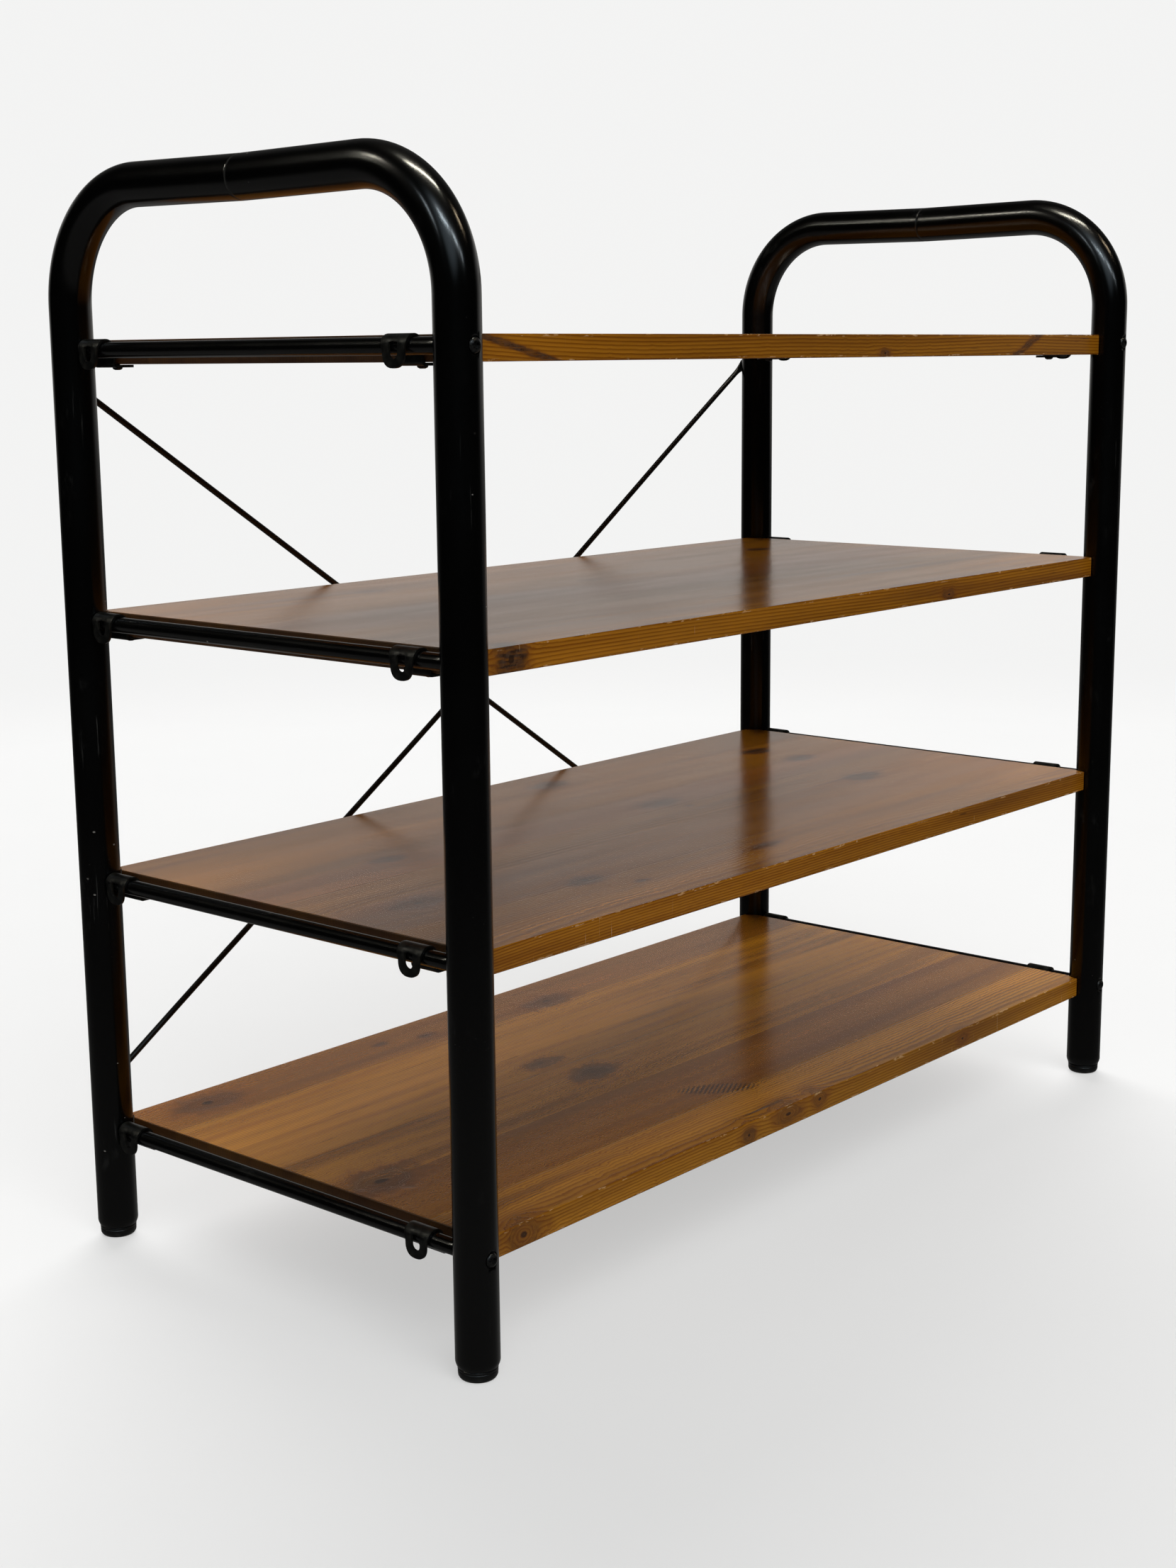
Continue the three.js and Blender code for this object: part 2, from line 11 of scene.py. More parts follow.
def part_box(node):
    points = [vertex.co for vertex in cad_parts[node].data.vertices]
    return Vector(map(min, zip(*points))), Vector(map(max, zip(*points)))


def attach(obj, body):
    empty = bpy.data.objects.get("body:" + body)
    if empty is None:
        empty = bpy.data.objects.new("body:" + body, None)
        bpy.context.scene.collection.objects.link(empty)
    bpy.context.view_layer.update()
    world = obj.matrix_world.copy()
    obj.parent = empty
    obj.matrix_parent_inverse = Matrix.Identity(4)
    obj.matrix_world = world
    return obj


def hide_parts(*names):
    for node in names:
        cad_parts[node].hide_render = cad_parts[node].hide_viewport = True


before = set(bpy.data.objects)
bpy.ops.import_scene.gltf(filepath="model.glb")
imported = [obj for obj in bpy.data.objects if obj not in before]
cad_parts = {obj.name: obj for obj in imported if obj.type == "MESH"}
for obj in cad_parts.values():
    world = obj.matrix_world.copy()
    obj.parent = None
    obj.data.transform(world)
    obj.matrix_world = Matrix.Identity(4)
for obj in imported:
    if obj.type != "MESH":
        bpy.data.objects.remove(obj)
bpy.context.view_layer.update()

MM = 0.001
X_AXIS, Y_AXIS, Z_AXIS = Vector((1, 0, 0)), Vector((0, 1, 0)), Vector((0, 0, 1))
SIDES = {"left": -1, "right": 1}
FACES = {"front": -1, "back": 1}
LEVELS = ("bottom", "top")
SHELVES = (1, 2, 3, 4)


def middle(node):
    low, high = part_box(node)
    return (low + high) / 2


# ---- sizes read from the frame

tube_low, tube_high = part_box("arch_tube_front_left")
TUBE_RADIUS = (tube_high.x - tube_low.x) / 2
POST_X = -(tube_high.x + tube_low.x) / 2
POST_Y = -(tube_low.y + TUBE_RADIUS)
TUBE_BOTTOM = tube_low.z
TUBE_TOP = tube_high.z
SEAM_HALF_GAP = -tube_high.y

cap_low, cap_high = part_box("foot_cap_front_left")
CAP_RADIUS = (cap_high.x - cap_low.x) / 2
CAP_TOP = cap_high.z

shelf_low, shelf_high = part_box("shelf_1")
BOARD_HALF_X = shelf_high.x
BOARD_HALF_Y = shelf_high.y
BOARD_THICKNESS = shelf_high.z - shelf_low.z

rod_low, rod_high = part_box("cross_rod_1_left")
ROD_RADIUS = (rod_high.x - rod_low.x) / 2
ROD_END_Y = rod_high.y
ROD_HEIGHTS = {k: middle(f"cross_rod_{k}_left").z for k in SHELVES}
BOLTED_RODS = (1, 4)

# sizes that a box can't tell, the same as in the CAD part
TUBE_WALL = 1.5 * MM
BEND_RADIUS = 85 * MM
ARM_DROOP = radians(0.7)
SWAGE_HEIGHT = 4.5 * MM
SWAGE_DEPTH = 1.5 * MM
ROD_HOLE_RADIUS = 6.5 * MM
ROD_BOLT_HOLE_RADIUS = 3.4 * MM
BRACE_BOLT_HOLE_RADIUS = 2.7 * MM
NOTCH_RADIUS = TUBE_RADIUS + 0.8 * MM
CLIP_STEEL = 2 * MM
CLIP_GAP = 0.3 * MM

# ---- mesh building


def linked(name, data):
    obj = bpy.data.objects.new(name, data)
    bpy.context.scene.collection.objects.link(obj)
    return obj


def new_object(name, mesh, material):
    obj = linked(name, mesh)
    mesh.materials.clear()
    mesh.materials.append(material)
    return obj


def only_mesh(obj):
    """Keeps an object's mesh, for many pieces to share, and removes the object."""
    mesh = obj.data
    bpy.data.objects.remove(obj)
    return mesh


def finished(bm, name):
    mesh = bpy.data.meshes.new(name)
    bm.to_mesh(mesh)
    bm.free()
    return mesh


def smoothed(mesh, angle=30):
    mesh.shade_smooth()
    mesh.set_sharp_from_angle(angle=radians(angle))
    return mesh


def bake_modifiers(obj):
    """Leaves the object with the mesh that its modifiers make, and no modifiers."""
    depsgraph = bpy.context.evaluated_depsgraph_get()
    mesh = bpy.data.meshes.new_from_object(obj.evaluated_get(depsgraph))
    old = obj.data
    obj.modifiers.clear()
    obj.data = mesh
    bpy.data.meshes.remove(old)
    return obj


def outward(mesh):
    bm = bmesh.new()
    bm.from_mesh(mesh)
    bmesh.ops.remove_doubles(bm, verts=bm.verts, dist=1e-7)
    bmesh.ops.recalc_face_normals(bm, faces=bm.faces)
    bm.to_mesh(mesh)
    bm.free()
    return mesh


def loft(name, loops, closed=False):
    """A skin through loops of points. Open ends are capped; a closed loft joins its last loop to its first.
    The UV map holds metres: round the loop in U, along the loft in V."""
    count = len(loops[0])
    mesh = bpy.data.meshes.new(name)
    faces = []
    uvs = []
    along = [0.0]
    for a, b in zip(loops, loops[1:]):
        along.append(along[-1] + max((q - p).length for p, q in zip(a, b)))
    around = [0.0]
    for p, q in zip(loops[0], loops[0][1:] + loops[0][:1]):
        around.append(around[-1] + (q - p).length)
    spans = len(loops) if closed else len(loops) - 1
    for i in range(spans):
        k = (i + 1) % len(loops)
        v0 = along[i]
        v1 = along[i + 1] if i + 1 < len(along) else along[i] + 0.001
        for j in range(count):
            m = (j + 1) % count
            faces.append((i * count + j, i * count + m, k * count + m, k * count + j))
            uvs += [(around[j], v0), (around[j + 1], v0), (around[j + 1], v1), (around[j], v1)]
    if not closed:
        for i in (0, len(loops) - 1):
            faces.append(tuple(i * count + j for j in range(count)))
            uvs += [(p.x, p.y) for p in loops[i]]
    mesh.from_pydata([p for loop in loops for p in loop], [], faces)
    layer = mesh.uv_layers.new(name="surface")
    for item, uv in zip(layer.data, uvs):
        item.uv = uv
    return outward(mesh)


def ring(centre, across, up, radius, count, squash=1.0):
    """A loop of points about a centre, in the plane of two unit vectors; squash scales it along up."""
    turn = 2 * pi / count
    return [centre + across * radius * cos(j * turn) + up * radius * squash * sin(j * turn)
            for j in range(count)]


def lathe(name, profile, count):
    """A solid of revolution about +Z from (radius, height) pairs that don't touch the axis."""
    return loft(name, [ring(Z_AXIS * height, X_AXIS, Y_AXIS, radius, count) for radius, height in profile])


def rounded(profile, radius, steps=3):
    """The same profile with every corner between its first and last points rounded off."""
    points = [Vector(p) for p in profile]
    out = [points[0]]
    for a, b, c in zip(points, points[1:], points[2:]):
        reach_a = min(radius, (a - b).length * 0.45)
        reach_c = min(radius, (c - b).length * 0.45)
        p = b + (a - b).normalized() * reach_a
        q = b + (c - b).normalized() * reach_c
        for s in range(steps + 1):
            t = s / steps
            out.append(p * (1 - t) ** 2 + b * 2 * t * (1 - t) + q * t * t)
    out.append(points[-1])
    return [tuple(p) for p in out]


def turned_cutter(at, axis, profile, count=40):
    """A solid of revolution for cutting, from (radius, distance along the axis) pairs."""
    across = axis.orthogonal().normalized()
    up = axis.cross(across).normalized()
    return loft("cutter", [ring(at + axis * reach, across, up, radius, count) for radius, reach in profile])


def hole_cutter(at, axis, low, high, radius, count=40):
    return turned_cutter(at, axis, [(radius, low), (radius, high)], count)


def cut(obj, cutter_meshes):
    """Cuts closed meshes out of an object with one boolean."""
    bm = bmesh.new()
    for mesh in cutter_meshes:
        bm.from_mesh(mesh)
        bpy.data.meshes.remove(mesh)
    joined = finished(bm, "cutters")
    tool = linked("cutters", joined)
    modifier = obj.modifiers.new("cut", "BOOLEAN")
    modifier.object = tool
    modifier.operation = "DIFFERENCE"
    modifier.solver = "EXACT"
    bake_modifiers(obj)
    bpy.data.objects.remove(tool)
    bpy.data.meshes.remove(joined)
    return obj


def place(obj, body, slot, *nodes):
    """The piece stands for CAD nodes and moves with a body; its slot is not used."""
    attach(obj, body)
    if nodes:
        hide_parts(*nodes)
    return obj


# ---- material graphs


class Value:
    """A node's output that can be reckoned with: each operator or call adds one node."""

    def __init__(self, graph, socket):
        self.graph, self.socket = graph, socket

    def __add__(self, other):
        return self.graph.math("ADD", self, other)

    def __sub__(self, other):
        return self.graph.math("SUBTRACT", self, other)

    def __rsub__(self, other):
        return self.graph.math("SUBTRACT", other, self)

    def __mul__(self, other):
        return self.graph.math("MULTIPLY", self, other)

    def __rtruediv__(self, other):
        return self.graph.math("DIVIDE", other, self)

    def remap(self, low, high, to_low=0.0, to_high=1.0, kind="SMOOTHSTEP"):
        inputs = {0: self, 1: low, 2: high, 3: to_low, 4: to_high}
        return self.graph.node("MapRange", inputs, interpolation_type=kind)

    def linear(self, low, high, to_low=0.0, to_high=1.0):
        return self.remap(low, high, to_low, to_high, "LINEAR")


class Graph:
    """The nodes of a material or a world. Most calls add one node and give one of its outputs."""

    def __init__(self, owner):
        owner.use_nodes = True
        self.owner = owner
        self.tree = owner.node_tree
        self.tree.nodes.clear()

    def add(self, kind, inputs, **settings):
        made = self.tree.nodes.new("ShaderNode" + kind)
        for key, value in settings.items():
            setattr(made, key, value)
        for key, value in inputs.items():
            self.join(made.inputs[key], value)
        return made

    def node(self, kind, inputs, output=0, **settings):
        return Value(self, self.add(kind, inputs, **settings).outputs[output])

    def join(self, socket, value):
        if isinstance(value, Value):
            self.tree.links.new(value.socket, socket)
        else:
            socket.default_value = value

    def place_of(self):
        return self.node("TexCoord", {}, "Object")

    def uv(self):
        return self.node("UVMap", {}, uv_map="surface")

    def math(self, operation, a, b=0.0):
        return self.node("Math", {0: a, 1: b}, operation=operation)

    def larger(self, a, b):
        return self.math("MAXIMUM", a, b)

    def scaled(self, vector, scale, offset=(0, 0, 0)):
        return self.node("VectorMath", {0: vector, 1: scale, 2: offset}, operation="MULTIPLY_ADD")

    def split(self, vector, kind="SeparateXYZ"):
        return [Value(self, output) for output in self.add(kind, {0: vector}).outputs[:3]]

    def joined(self, x, y, z):
        return self.node("CombineXYZ", {0: x, 1: y, 2: z})

    def noise(self, vector, scale, detail=2.0, roughness=0.5, offset=(0, 0, 0)):
        """Noise. Three scales instead of one make it finer along some axes than along others."""
        if isinstance(scale, tuple):
            vector, scale = self.scaled(vector, scale, offset), 1.0
        inputs = {"Vector": vector, "Scale": scale, "Detail": detail, "Roughness": roughness}
        return self.node("TexNoise", inputs)

    def specks(self, vector, scale):
        return self.node("TexVoronoi", {"Vector": vector, "Scale": scale}, "Distance")

    def mix(self, factor, a, b):
        colour_a, colour_b, colour_out = 6, 7, 2
        return self.node("Mix", {0: factor, colour_a: a, colour_b: b}, colour_out, data_type="RGBA")

    def ramp(self, factor, stops, interpolation="LINEAR"):
        made = self.add("ValToRGB", {0: factor})
        made.color_ramp.interpolation = interpolation
        elements = made.color_ramp.elements
        elements[0].position, elements[0].color = stops[0]
        elements[1].position, elements[1].color = stops[-1]
        for position, colour in stops[1:-1]:
            elements.new(position).color = colour
        return Value(self, made.outputs[0])

    def bump(self, height, distance, strength, normal=None):
        inputs = {"Height": height, "Distance": distance, "Strength": strength}
        if normal:
            inputs["Normal"] = normal
        return self.node("Bump", inputs)


class Finish(Graph):
    """A material with one principled shader."""

    def __init__(self, name):
        super().__init__(bpy.data.materials.new(name))
        self.shader = self.add("BsdfPrincipled", {})
        self.surface = Value(self, self.shader.outputs[0])
        self.output = self.add("OutputMaterial", {"Surface": self.surface})

    def set(self, **inputs):
        for key, value in inputs.items():
            self.join(self.shader.inputs[key.replace("_", " ")], value)
        return self.owner


def grey(value):
    return (value, value, value, 1.0)


# ---- black paint and small metal

# grey of scuffs; on the rods it also serves as painted highlight streaks
SCUFF_AND_SHEEN_GREY = (0.040, 0.040, 0.038, 1.0)
# light grey of dust, also used for the painted highlight on the seam rims
DUST_AND_SEAM_SHEEN_GREY = (0.16, 0.155, 0.14, 1.0)
CHIP_GREY = (0.20, 0.19, 0.17, 1.0)
PAINT_IOR = 1.5


def black_paint(name, scuff_and_sheen_amount, base, roughness, seam=False):
    """Gloss stoving paint on steel: faint orange peel, grey scuffs along the tube, which on the rods are also
    a painted highlight, dust and a few chips.
    """
    g = Finish(name)
    surface, where = g.uv(), g.place_of()
    cloud = g.noise(where, 9.0, 3.0)
    streak = g.noise(surface, (420.0, 16.0, 0.0), 3.0, 0.6)
    blotch = g.noise(surface, (60.0, 25.0, 0.0), 4.0, 0.7)
    patch = cloud.remap(0.50, 0.68)
    scuff_and_sheen = g.larger(streak.remap(0.64, 0.74) * patch, blotch.remap(0.56, 0.74, 0.0, 0.5) * patch)
    scuff_and_sheen = scuff_and_sheen * scuff_and_sheen_amount
    dust = g.specks(where, 260.0).remap(0.10, 0.04)
    dust = dust * g.noise(where, 30.0).remap(0.55, 0.75, 0.0, scuff_and_sheen_amount)
    chip = g.specks(g.scaled(where, (1, 1, 1.6), (0.31, 0.12, 0.07)), 48.0).remap(0.058, 0.040)
    chip = chip * g.noise(where, 7.0, 1.0).remap(0.52, 0.6, 0.0, scuff_and_sheen_amount)
    colour = g.mix(scuff_and_sheen, grey(base), SCUFF_AND_SHEEN_GREY)
    colour = g.mix(dust * 0.2, colour, DUST_AND_SEAM_SHEEN_GREY)
    colour = g.mix(chip, colour, CHIP_GREY)
    if seam:
        # the rims that meet at the top of the arch are lighter grey: paint rubbed thin there, and a painted
        # highlight along the seam line
        off_seam = g.math("ABSOLUTE", g.split(where)[1])
        rim = off_seam.remap(SEAM_HALF_GAP + 1.2 * MM, SEAM_HALF_GAP + 0.4 * MM, 0.0, 0.08)
        colour = g.mix(rim, colour, DUST_AND_SEAM_SHEEN_GREY)
    worn = g.larger(scuff_and_sheen * 0.2, g.larger(dust, chip))
    smear = cloud.remap(0.3, 0.8, roughness - 0.03, roughness + 0.05)
    peel = g.noise(where, 420.0, 2.0)
    return g.set(Base_Color=colour, Roughness=worn * 0.25 + smear, IOR=PAINT_IOR,
                 Normal=g.bump(peel * 0.25 - chip, 0.03 * MM, 0.3))


def dark_clip_steel():
    """Pressed steel, chemically blackened: olive-grey where it is rubbed, with fine drawing marks."""
    g = Finish("clip_steel")
    where = g.place_of()
    cloud = g.noise(where, 150.0, 4.0, 0.6)
    grain = g.noise(where, (700.0, 4000.0, 700.0), 2.0)
    rubbed = cloud.remap(0.42, 0.68)
    colour = g.mix(rubbed, (0.004, 0.004, 0.0036, 1.0), (0.014, 0.0135, 0.0105, 1.0))
    colour = g.mix(grain.remap(0.62, 0.8, 0.0, 0.35), colour, (0.035, 0.034, 0.028, 1.0))
    return g.set(Base_Color=colour, Roughness=cloud.remap(0.2, 0.8, 0.26, 0.44) + grain * 0.08,
                 Metallic=0.45, Normal=g.bump(grain + cloud * 2.0, 0.06 * MM, 0.5))


def bolt_steel():
    """Blackened steel of bolts and screws, slightly mottled."""
    g = Finish("bolt_steel")
    cloud = g.noise(g.place_of(), 420.0, 3.0)
    colour = g.mix(cloud.remap(0.4, 0.7), grey(0.002), (0.010, 0.0098, 0.009, 1.0))
    return g.set(Base_Color=colour, Roughness=cloud.remap(0.2, 0.8, 0.2, 0.42), Metallic=0.35,
                 Normal=g.bump(cloud, 0.05 * MM, 0.4))


def sleeve_steel():
    """Bare steel of the sleeves in the arches' seams, with marks along the drawing direction."""
    g = Finish("sleeve_steel")
    drawn = g.noise(g.place_of(), (900.0, 30.0, 900.0), 3.0)
    colour = g.mix(drawn.remap(0.3, 0.7), (0.30, 0.30, 0.29, 1.0), (0.46, 0.46, 0.45, 1.0))
    return g.set(Base_Color=colour, Roughness=drawn.remap(0.2, 0.8, 0.35, 0.55), Metallic=0.9,
                 Normal=g.bump(drawn, 0.04 * MM, 0.5))


def foot_plastic():
    """Black moulded polyethylene with a fine spark texture, dusty and scratched near the floor."""
    g = Finish("foot_plastic")
    where = g.place_of()
    texture = g.noise(where, 1800.0, 2.0)
    cloud = g.noise(where, 160.0, 3.0)
    low = g.split(where)[2].remap(5.5 * MM, 0.0)
    scraped = low * cloud.remap(0.38, 0.7)
    colour = g.mix(scraped * 0.5, grey(0.0025), (0.05, 0.048, 0.043, 1.0))
    return g.set(Base_Color=colour, Roughness=cloud.remap(0.2, 0.8, 0.26, 0.42),
                 Normal=g.bump(texture, 0.04 * MM, 0.5))


# ---- pine

AMBER = ((0.21, 0.080, 0.004, 1.0), (0.100, 0.029, 0.001, 1.0))
# the amber tones made brighter for the lowest board, shelf 1: painted light, standing in for light that the
# boards above keep off it
AMBER_PAINTED_BRIGHTER = ((0.253, 0.1045, 0.0066, 1.0), (0.1265, 0.04, 0.0017, 1.0))
PALE_WOOD = (0.34, 0.20, 0.08, 1.0)
HEART_BROWN = (0.070, 0.023, 0.005, 1.0)
RED_BROWN = (0.115, 0.032, 0.004, 1.0)
KNOT_DARK = (0.012, 0.006, 0.004, 1.0)
KNOT_GREY = (0.032, 0.021, 0.015, 1.0)
# near black brown for the board ends: darker end grain, deepened with painted shade
END_GRAIN_AND_SHADE_BROWN = (0.018, 0.0065, 0.0018, 1.0)
VARNISH_IOR = 1.5


class Knot:
    """A branch cut through. The branch runs through the board's thickness, or from its front edge
    backwards when from_front is set; then its second place is a height above the board's middle.
    radius is across the grain, stretch lengthens it along the grain, lean tilts the branch along and
    across the grain, and dark is how dark it looks."""

    def __init__(self, x, across, radius, stretch=1.7, lean=(0.0, 0.0), dark=0.6, from_front=False):
        self.x, self.across, self.radius = x * MM, across * MM, radius * MM
        self.stretch, self.lean, self.dark, self.from_front = stretch, lean, dark, from_front


class Pine(Finish):
    """Varnished pine, cut from a solid pattern of growth rings, so that faces, edges and ends agree."""

    def __init__(self, name, middle_z, seed, stave_count, knots, tone, ripples):
        super().__init__(name)
        self.seed, self.knots, self.ripples = seed, knots, ripples
        self.early, self.late_tone = tone
        self.where = self.scaled(self.place_of(), (1, 1, 1), (0, 0, -middle_z))
        self.shifted = self.scaled(self.where, (1, 1, 1), (seed * 1.7, seed * 0.9, seed * 0.4))
        self.x, self.y, self.z = self.split(self.where)
        self.staves(stave_count)
        self.grain_round_knots()
        self.growth_rings()
        self.wear()
        colour = self.knots_and_resin(self.clear_wood())
        self.set(Base_Color=self.mix(self.worn * 0.75, colour, PALE_WOOD))
        self.varnish()

    def staves(self, count):
        """Strips glued edge to edge, each with its own tone and its own place in the log. The front
        strip's rings lie flat, so that its edge shows them as lines."""
        rng = random.Random(self.seed)
        widths = [rng.uniform(0.75, 1.25) for _ in range(count)]
        starts = [sum(widths[:i]) / sum(widths) for i in range(count)]
        traits = [(rng.random(), rng.random(), rng.random(), 1.0) for _ in range(count)]
        traits[0] = (0.6, rng.uniform(0.09, 0.15), rng.uniform(0.3, 0.9), 1.0)
        across = self.y.linear(-BOARD_HALF_Y, BOARD_HALF_Y)
        trait = self.ramp(across, list(zip(starts, traits)), "CONSTANT")
        self.tone_trait, self.side_trait, self.depth_trait = self.split(trait, "SeparateColor")
        half_line = 0.0014
        stops = [(0.0, grey(0.0))]
        for start in starts[1:]:
            stops += [(start - half_line, grey(0.0)), (start, grey(1.0)), (start + half_line, grey(0.0))]
        self.glue = self.ramp(across, stops + [(1.0, grey(0.0))])

    def grain_round_knots(self):
        """The grain wanders slowly and flows round each knot like water round a post."""
        wander = self.noise(self.shifted, (2.2, 9.0, 9.0), 2.0)
        self.ripple = self.noise(self.shifted, (14.0, 42.0, 42.0), 2.0)
        lumps = self.noise(self.shifted, 75.0, 3.0, 0.6)
        outline = lumps.linear(0.25, 0.75, 0.45, 1.75)
        from_edge = self.y + BOARD_HALF_Y
        self.grain_y = self.y + (wander - 0.5) * 0.018 + (self.ripple - 0.5) * 0.0035
        self.grain_z = self.z
        # how far away the nearest knot is: the square of the distance in knot radii
        self.nearest = 400.0
        self.knot_dark = 0.0
        for knot in self.knots:
            side, depth = (self.z, from_edge) if knot.from_front else (self.y, self.z)
            dx = (self.x - knot.x - depth * knot.lean[0]) * (1 / knot.stretch)
            ds = side - knot.across - depth * knot.lean[1]
            reach = (ds * ds + dx * dx) * outline * (1 / knot.radius ** 2)
            if knot.from_front:
                # such a branch ends inside the board
                reach = reach + from_edge.remap(12 * MM, 30 * MM, 0.0, 6.0)
            push = ds * (-1.15 / self.larger(reach, 1.0))
            if knot.from_front:
                self.grain_z = self.grain_z + push
            else:
                self.grain_y = self.grain_y + push
            self.nearest = self.math("MINIMUM", self.nearest, reach)
            self.knot_dark = self.larger(self.knot_dark, reach.remap(3.6, 0.3, 0.0, knot.dark))

    def growth_rings(self):
        """Rings about a pith below the board, each stave with its own, and rings round every knot."""
        drift = self.joined(self.x * 1.6, self.side_trait * 31.0, self.seed * 3.1)
        pith_y = self.side_trait.linear(0.0, 1.0, -0.26, 0.26)
        pith_z = self.depth_trait * -0.075 - 0.022 + self.noise(drift, 1.0, 1.0) * 0.035
        off_y, off_z = self.grain_y - pith_y, self.grain_z - pith_z
        per_metre = self.depth_trait.linear(0.0, 1.0, 330.0, 500.0)
        clear_rings = self.math("SQRT", off_y * off_y + off_z * off_z) * per_metre + self.ripple * 0.5
        knot_rings = self.math("SQRT", self.nearest) * 3.5
        in_knot = self.nearest.remap(1.25, 0.8)
        part = self.math("FRACT", knot_rings * in_knot + clear_rings * (1.0 - in_knot))
        # the rings of wood and knot don't meet, so both fade at the knot's rim
        rim = in_knot * (1.0 - in_knot)
        late = part.remap(0.30, 0.86) * part.remap(1.0, 0.93)
        self.late = late * rim.remap(0.02, 0.12, 1.0, 0.0)

    def close_to(self, value, limit, start, end):
        """Rises from 0 to 1 where a value of either sign comes near its limit."""
        return self.math("ABSOLUTE", value).remap(limit - start, limit - end)

    def wear(self):
        """Rubbed and chipped arrises, marks across the front edge and hairline scratches on the faces."""
        side = self.close_to(self.y, BOARD_HALF_Y, 3 * MM, 0.6 * MM)
        face = self.close_to(self.z, BOARD_THICKNESS / 2, 2.6 * MM, 0.6 * MM)
        self.end_grain = self.close_to(self.x, BOARD_HALF_X, 1.2 * MM, 0.4 * MM)
        chips = self.noise(self.shifted, (75.0, 300.0, 300.0), 3.0, 0.65)
        chips = side * face * chips.remap(0.57, 0.65)
        marks = self.noise(self.shifted, (900.0, 6.0, 26.0), 2.0)
        patch = self.noise(self.shifted, 11.0).remap(0.50, 0.62)
        marks = marks.remap(0.70, 0.77) * patch * side
        turned = self.node("Mapping", {"Vector": self.where, "Rotation": (0, 0, 0.35 + self.seed)})
        hairline = self.noise(turned, (7.0, 1500.0, 10.0), 1.0)
        patch = self.noise(turned, 6.0).remap(0.52, 0.66)
        hairline = hairline.remap(0.76, 0.80) * patch
        self.worn = self.larger(self.larger(chips, marks), hairline * 0.18)

    def clear_wood(self):
        """Light and dark halves of the rings under streaks, bands and fibres, toned stave by stave."""
        along = self.joined(self.x, self.grain_y, self.grain_z)
        offset = (self.seed, self.seed, 0)
        streak = self.noise(along, (3.0, 85.0, 85.0), 3.0, 0.6, offset)
        band = self.noise(along, (1.3, 30.0, 24.0), 2.0, 0.6, offset)
        broad = self.noise(self.shifted, (1.6, 14.0, 14.0), 2.0)
        self.fibre = self.noise(self.shifted, (55.0, 1900.0, 1900.0), 2.0, 0.6)
        colour = self.mix(self.late * streak.remap(0.3, 0.7, 0.65, 1.0), self.early, self.late_tone)
        colour = self.mix(streak.remap(0.40, 0.78, 0.0, 0.6), colour, self.late_tone)
        colour = self.mix(band.remap(0.54, 0.72, 0.0, 0.6), colour, HEART_BROWN)
        colour = self.mix(self.side_trait.remap(0.35, 0.9) * 0.5, colour, RED_BROWN)
        shade = self.tone_trait.linear(0.0, 1.0, 0.86, 1.24) * broad.remap(0.3, 0.7, 0.82, 1.14)
        shade = shade * self.fibre.remap(0.3, 0.7, 0.92, 1.06)
        return self.node("VectorMath", {0: colour, 3: shade}, operation="SCALE")

    def knots_and_resin(self, colour):
        """Knots with a reddish halo, a mottled heart and a broken rim, then resin, glue lines, and the ends
        in near black brown: darker end grain, deepened with painted shade.
        """
        colour = self.mix(self.nearest.remap(7.0, 0.9, 0.0, 0.5), colour, RED_BROWN)
        mottle = self.noise(self.shifted, 240.0, 3.0, 0.65)
        heart = self.mix(mottle.remap(0.35, 0.65), KNOT_DARK, KNOT_GREY)
        fibres = self.noise(self.shifted, (40.0, 420.0, 420.0), 2.0, 0.6)
        colour = self.mix(self.knot_dark * fibres.remap(0.3, 0.62, 0.45, 1.1), colour, heart)
        rim = self.nearest.remap(1.9, 1.1) * self.nearest.remap(0.5, 0.95)
        rim = rim * mottle.remap(0.35, 0.6)
        resin = self.noise(self.shifted, (26.0, 620.0, 620.0), 1.0)
        darker = [rim * 0.25, self.nearest.remap(0.09, 0.02, 0.0, 0.8)]
        darker += [self.ripple_figure(x * MM, y * MM) for x, y in self.ripples]
        darker += [resin.remap(0.72, 0.79, 0.0, 0.5), self.glue * 0.45]
        for amount in darker:
            colour = self.mix(amount, colour, KNOT_DARK)
        # the ends are painted near black: real darker end grain, and painted shade on top of it
        return self.mix(self.end_grain * 0.8, colour, END_GRAIN_AND_SHADE_BROWN)

    def ripple_figure(self, at_x, at_y):
        """A short patch of slanting strokes, where the wood once buckled under load."""
        half_length, half_width, pitch = 37 * MM, 13 * MM, 3.7 * MM
        dx, dy = self.x - at_x, self.y - at_y
        along = dx * 0.81 - dy * 0.585
        across = dx * 0.585 + dy * 0.81
        inside = along * along * half_length ** -2 + across * across * half_width ** -2
        phase = dx * 0.47 - dy * 0.88 + self.ripple * 0.004
        stroke = self.math("SINE", phase * (2 * pi / pitch))
        return stroke.remap(-0.3, 0.6, 0.0, 0.85) * inside.remap(1.1, 0.5)

    def varnish(self):
        """Satin varnish that lies over the grain, with smudges and slight waves."""
        smudge = self.noise(self.shifted, (7.0, 40.0, 40.0), 3.0)
        gloss = smudge.remap(0.3, 0.7, 0.185, 0.215) + self.worn * 0.15 + self.end_grain * 0.3
        normal = self.bump(self.late * 0.8 + self.fibre * 0.25, 0.05 * MM, 0.5)
        waves = self.noise(self.shifted, (5.0, 32.0, 32.0), 2.0)
        normal = self.bump(waves, 0.1 * MM, 0.3, normal)
        nicks = 1.0 - self.larger(self.worn, self.glue)
        self.set(Roughness=gloss, IOR=VARNISH_IOR, Normal=self.bump(nicks, 0.1 * MM, 0.5, normal))


# ---- arch tubes


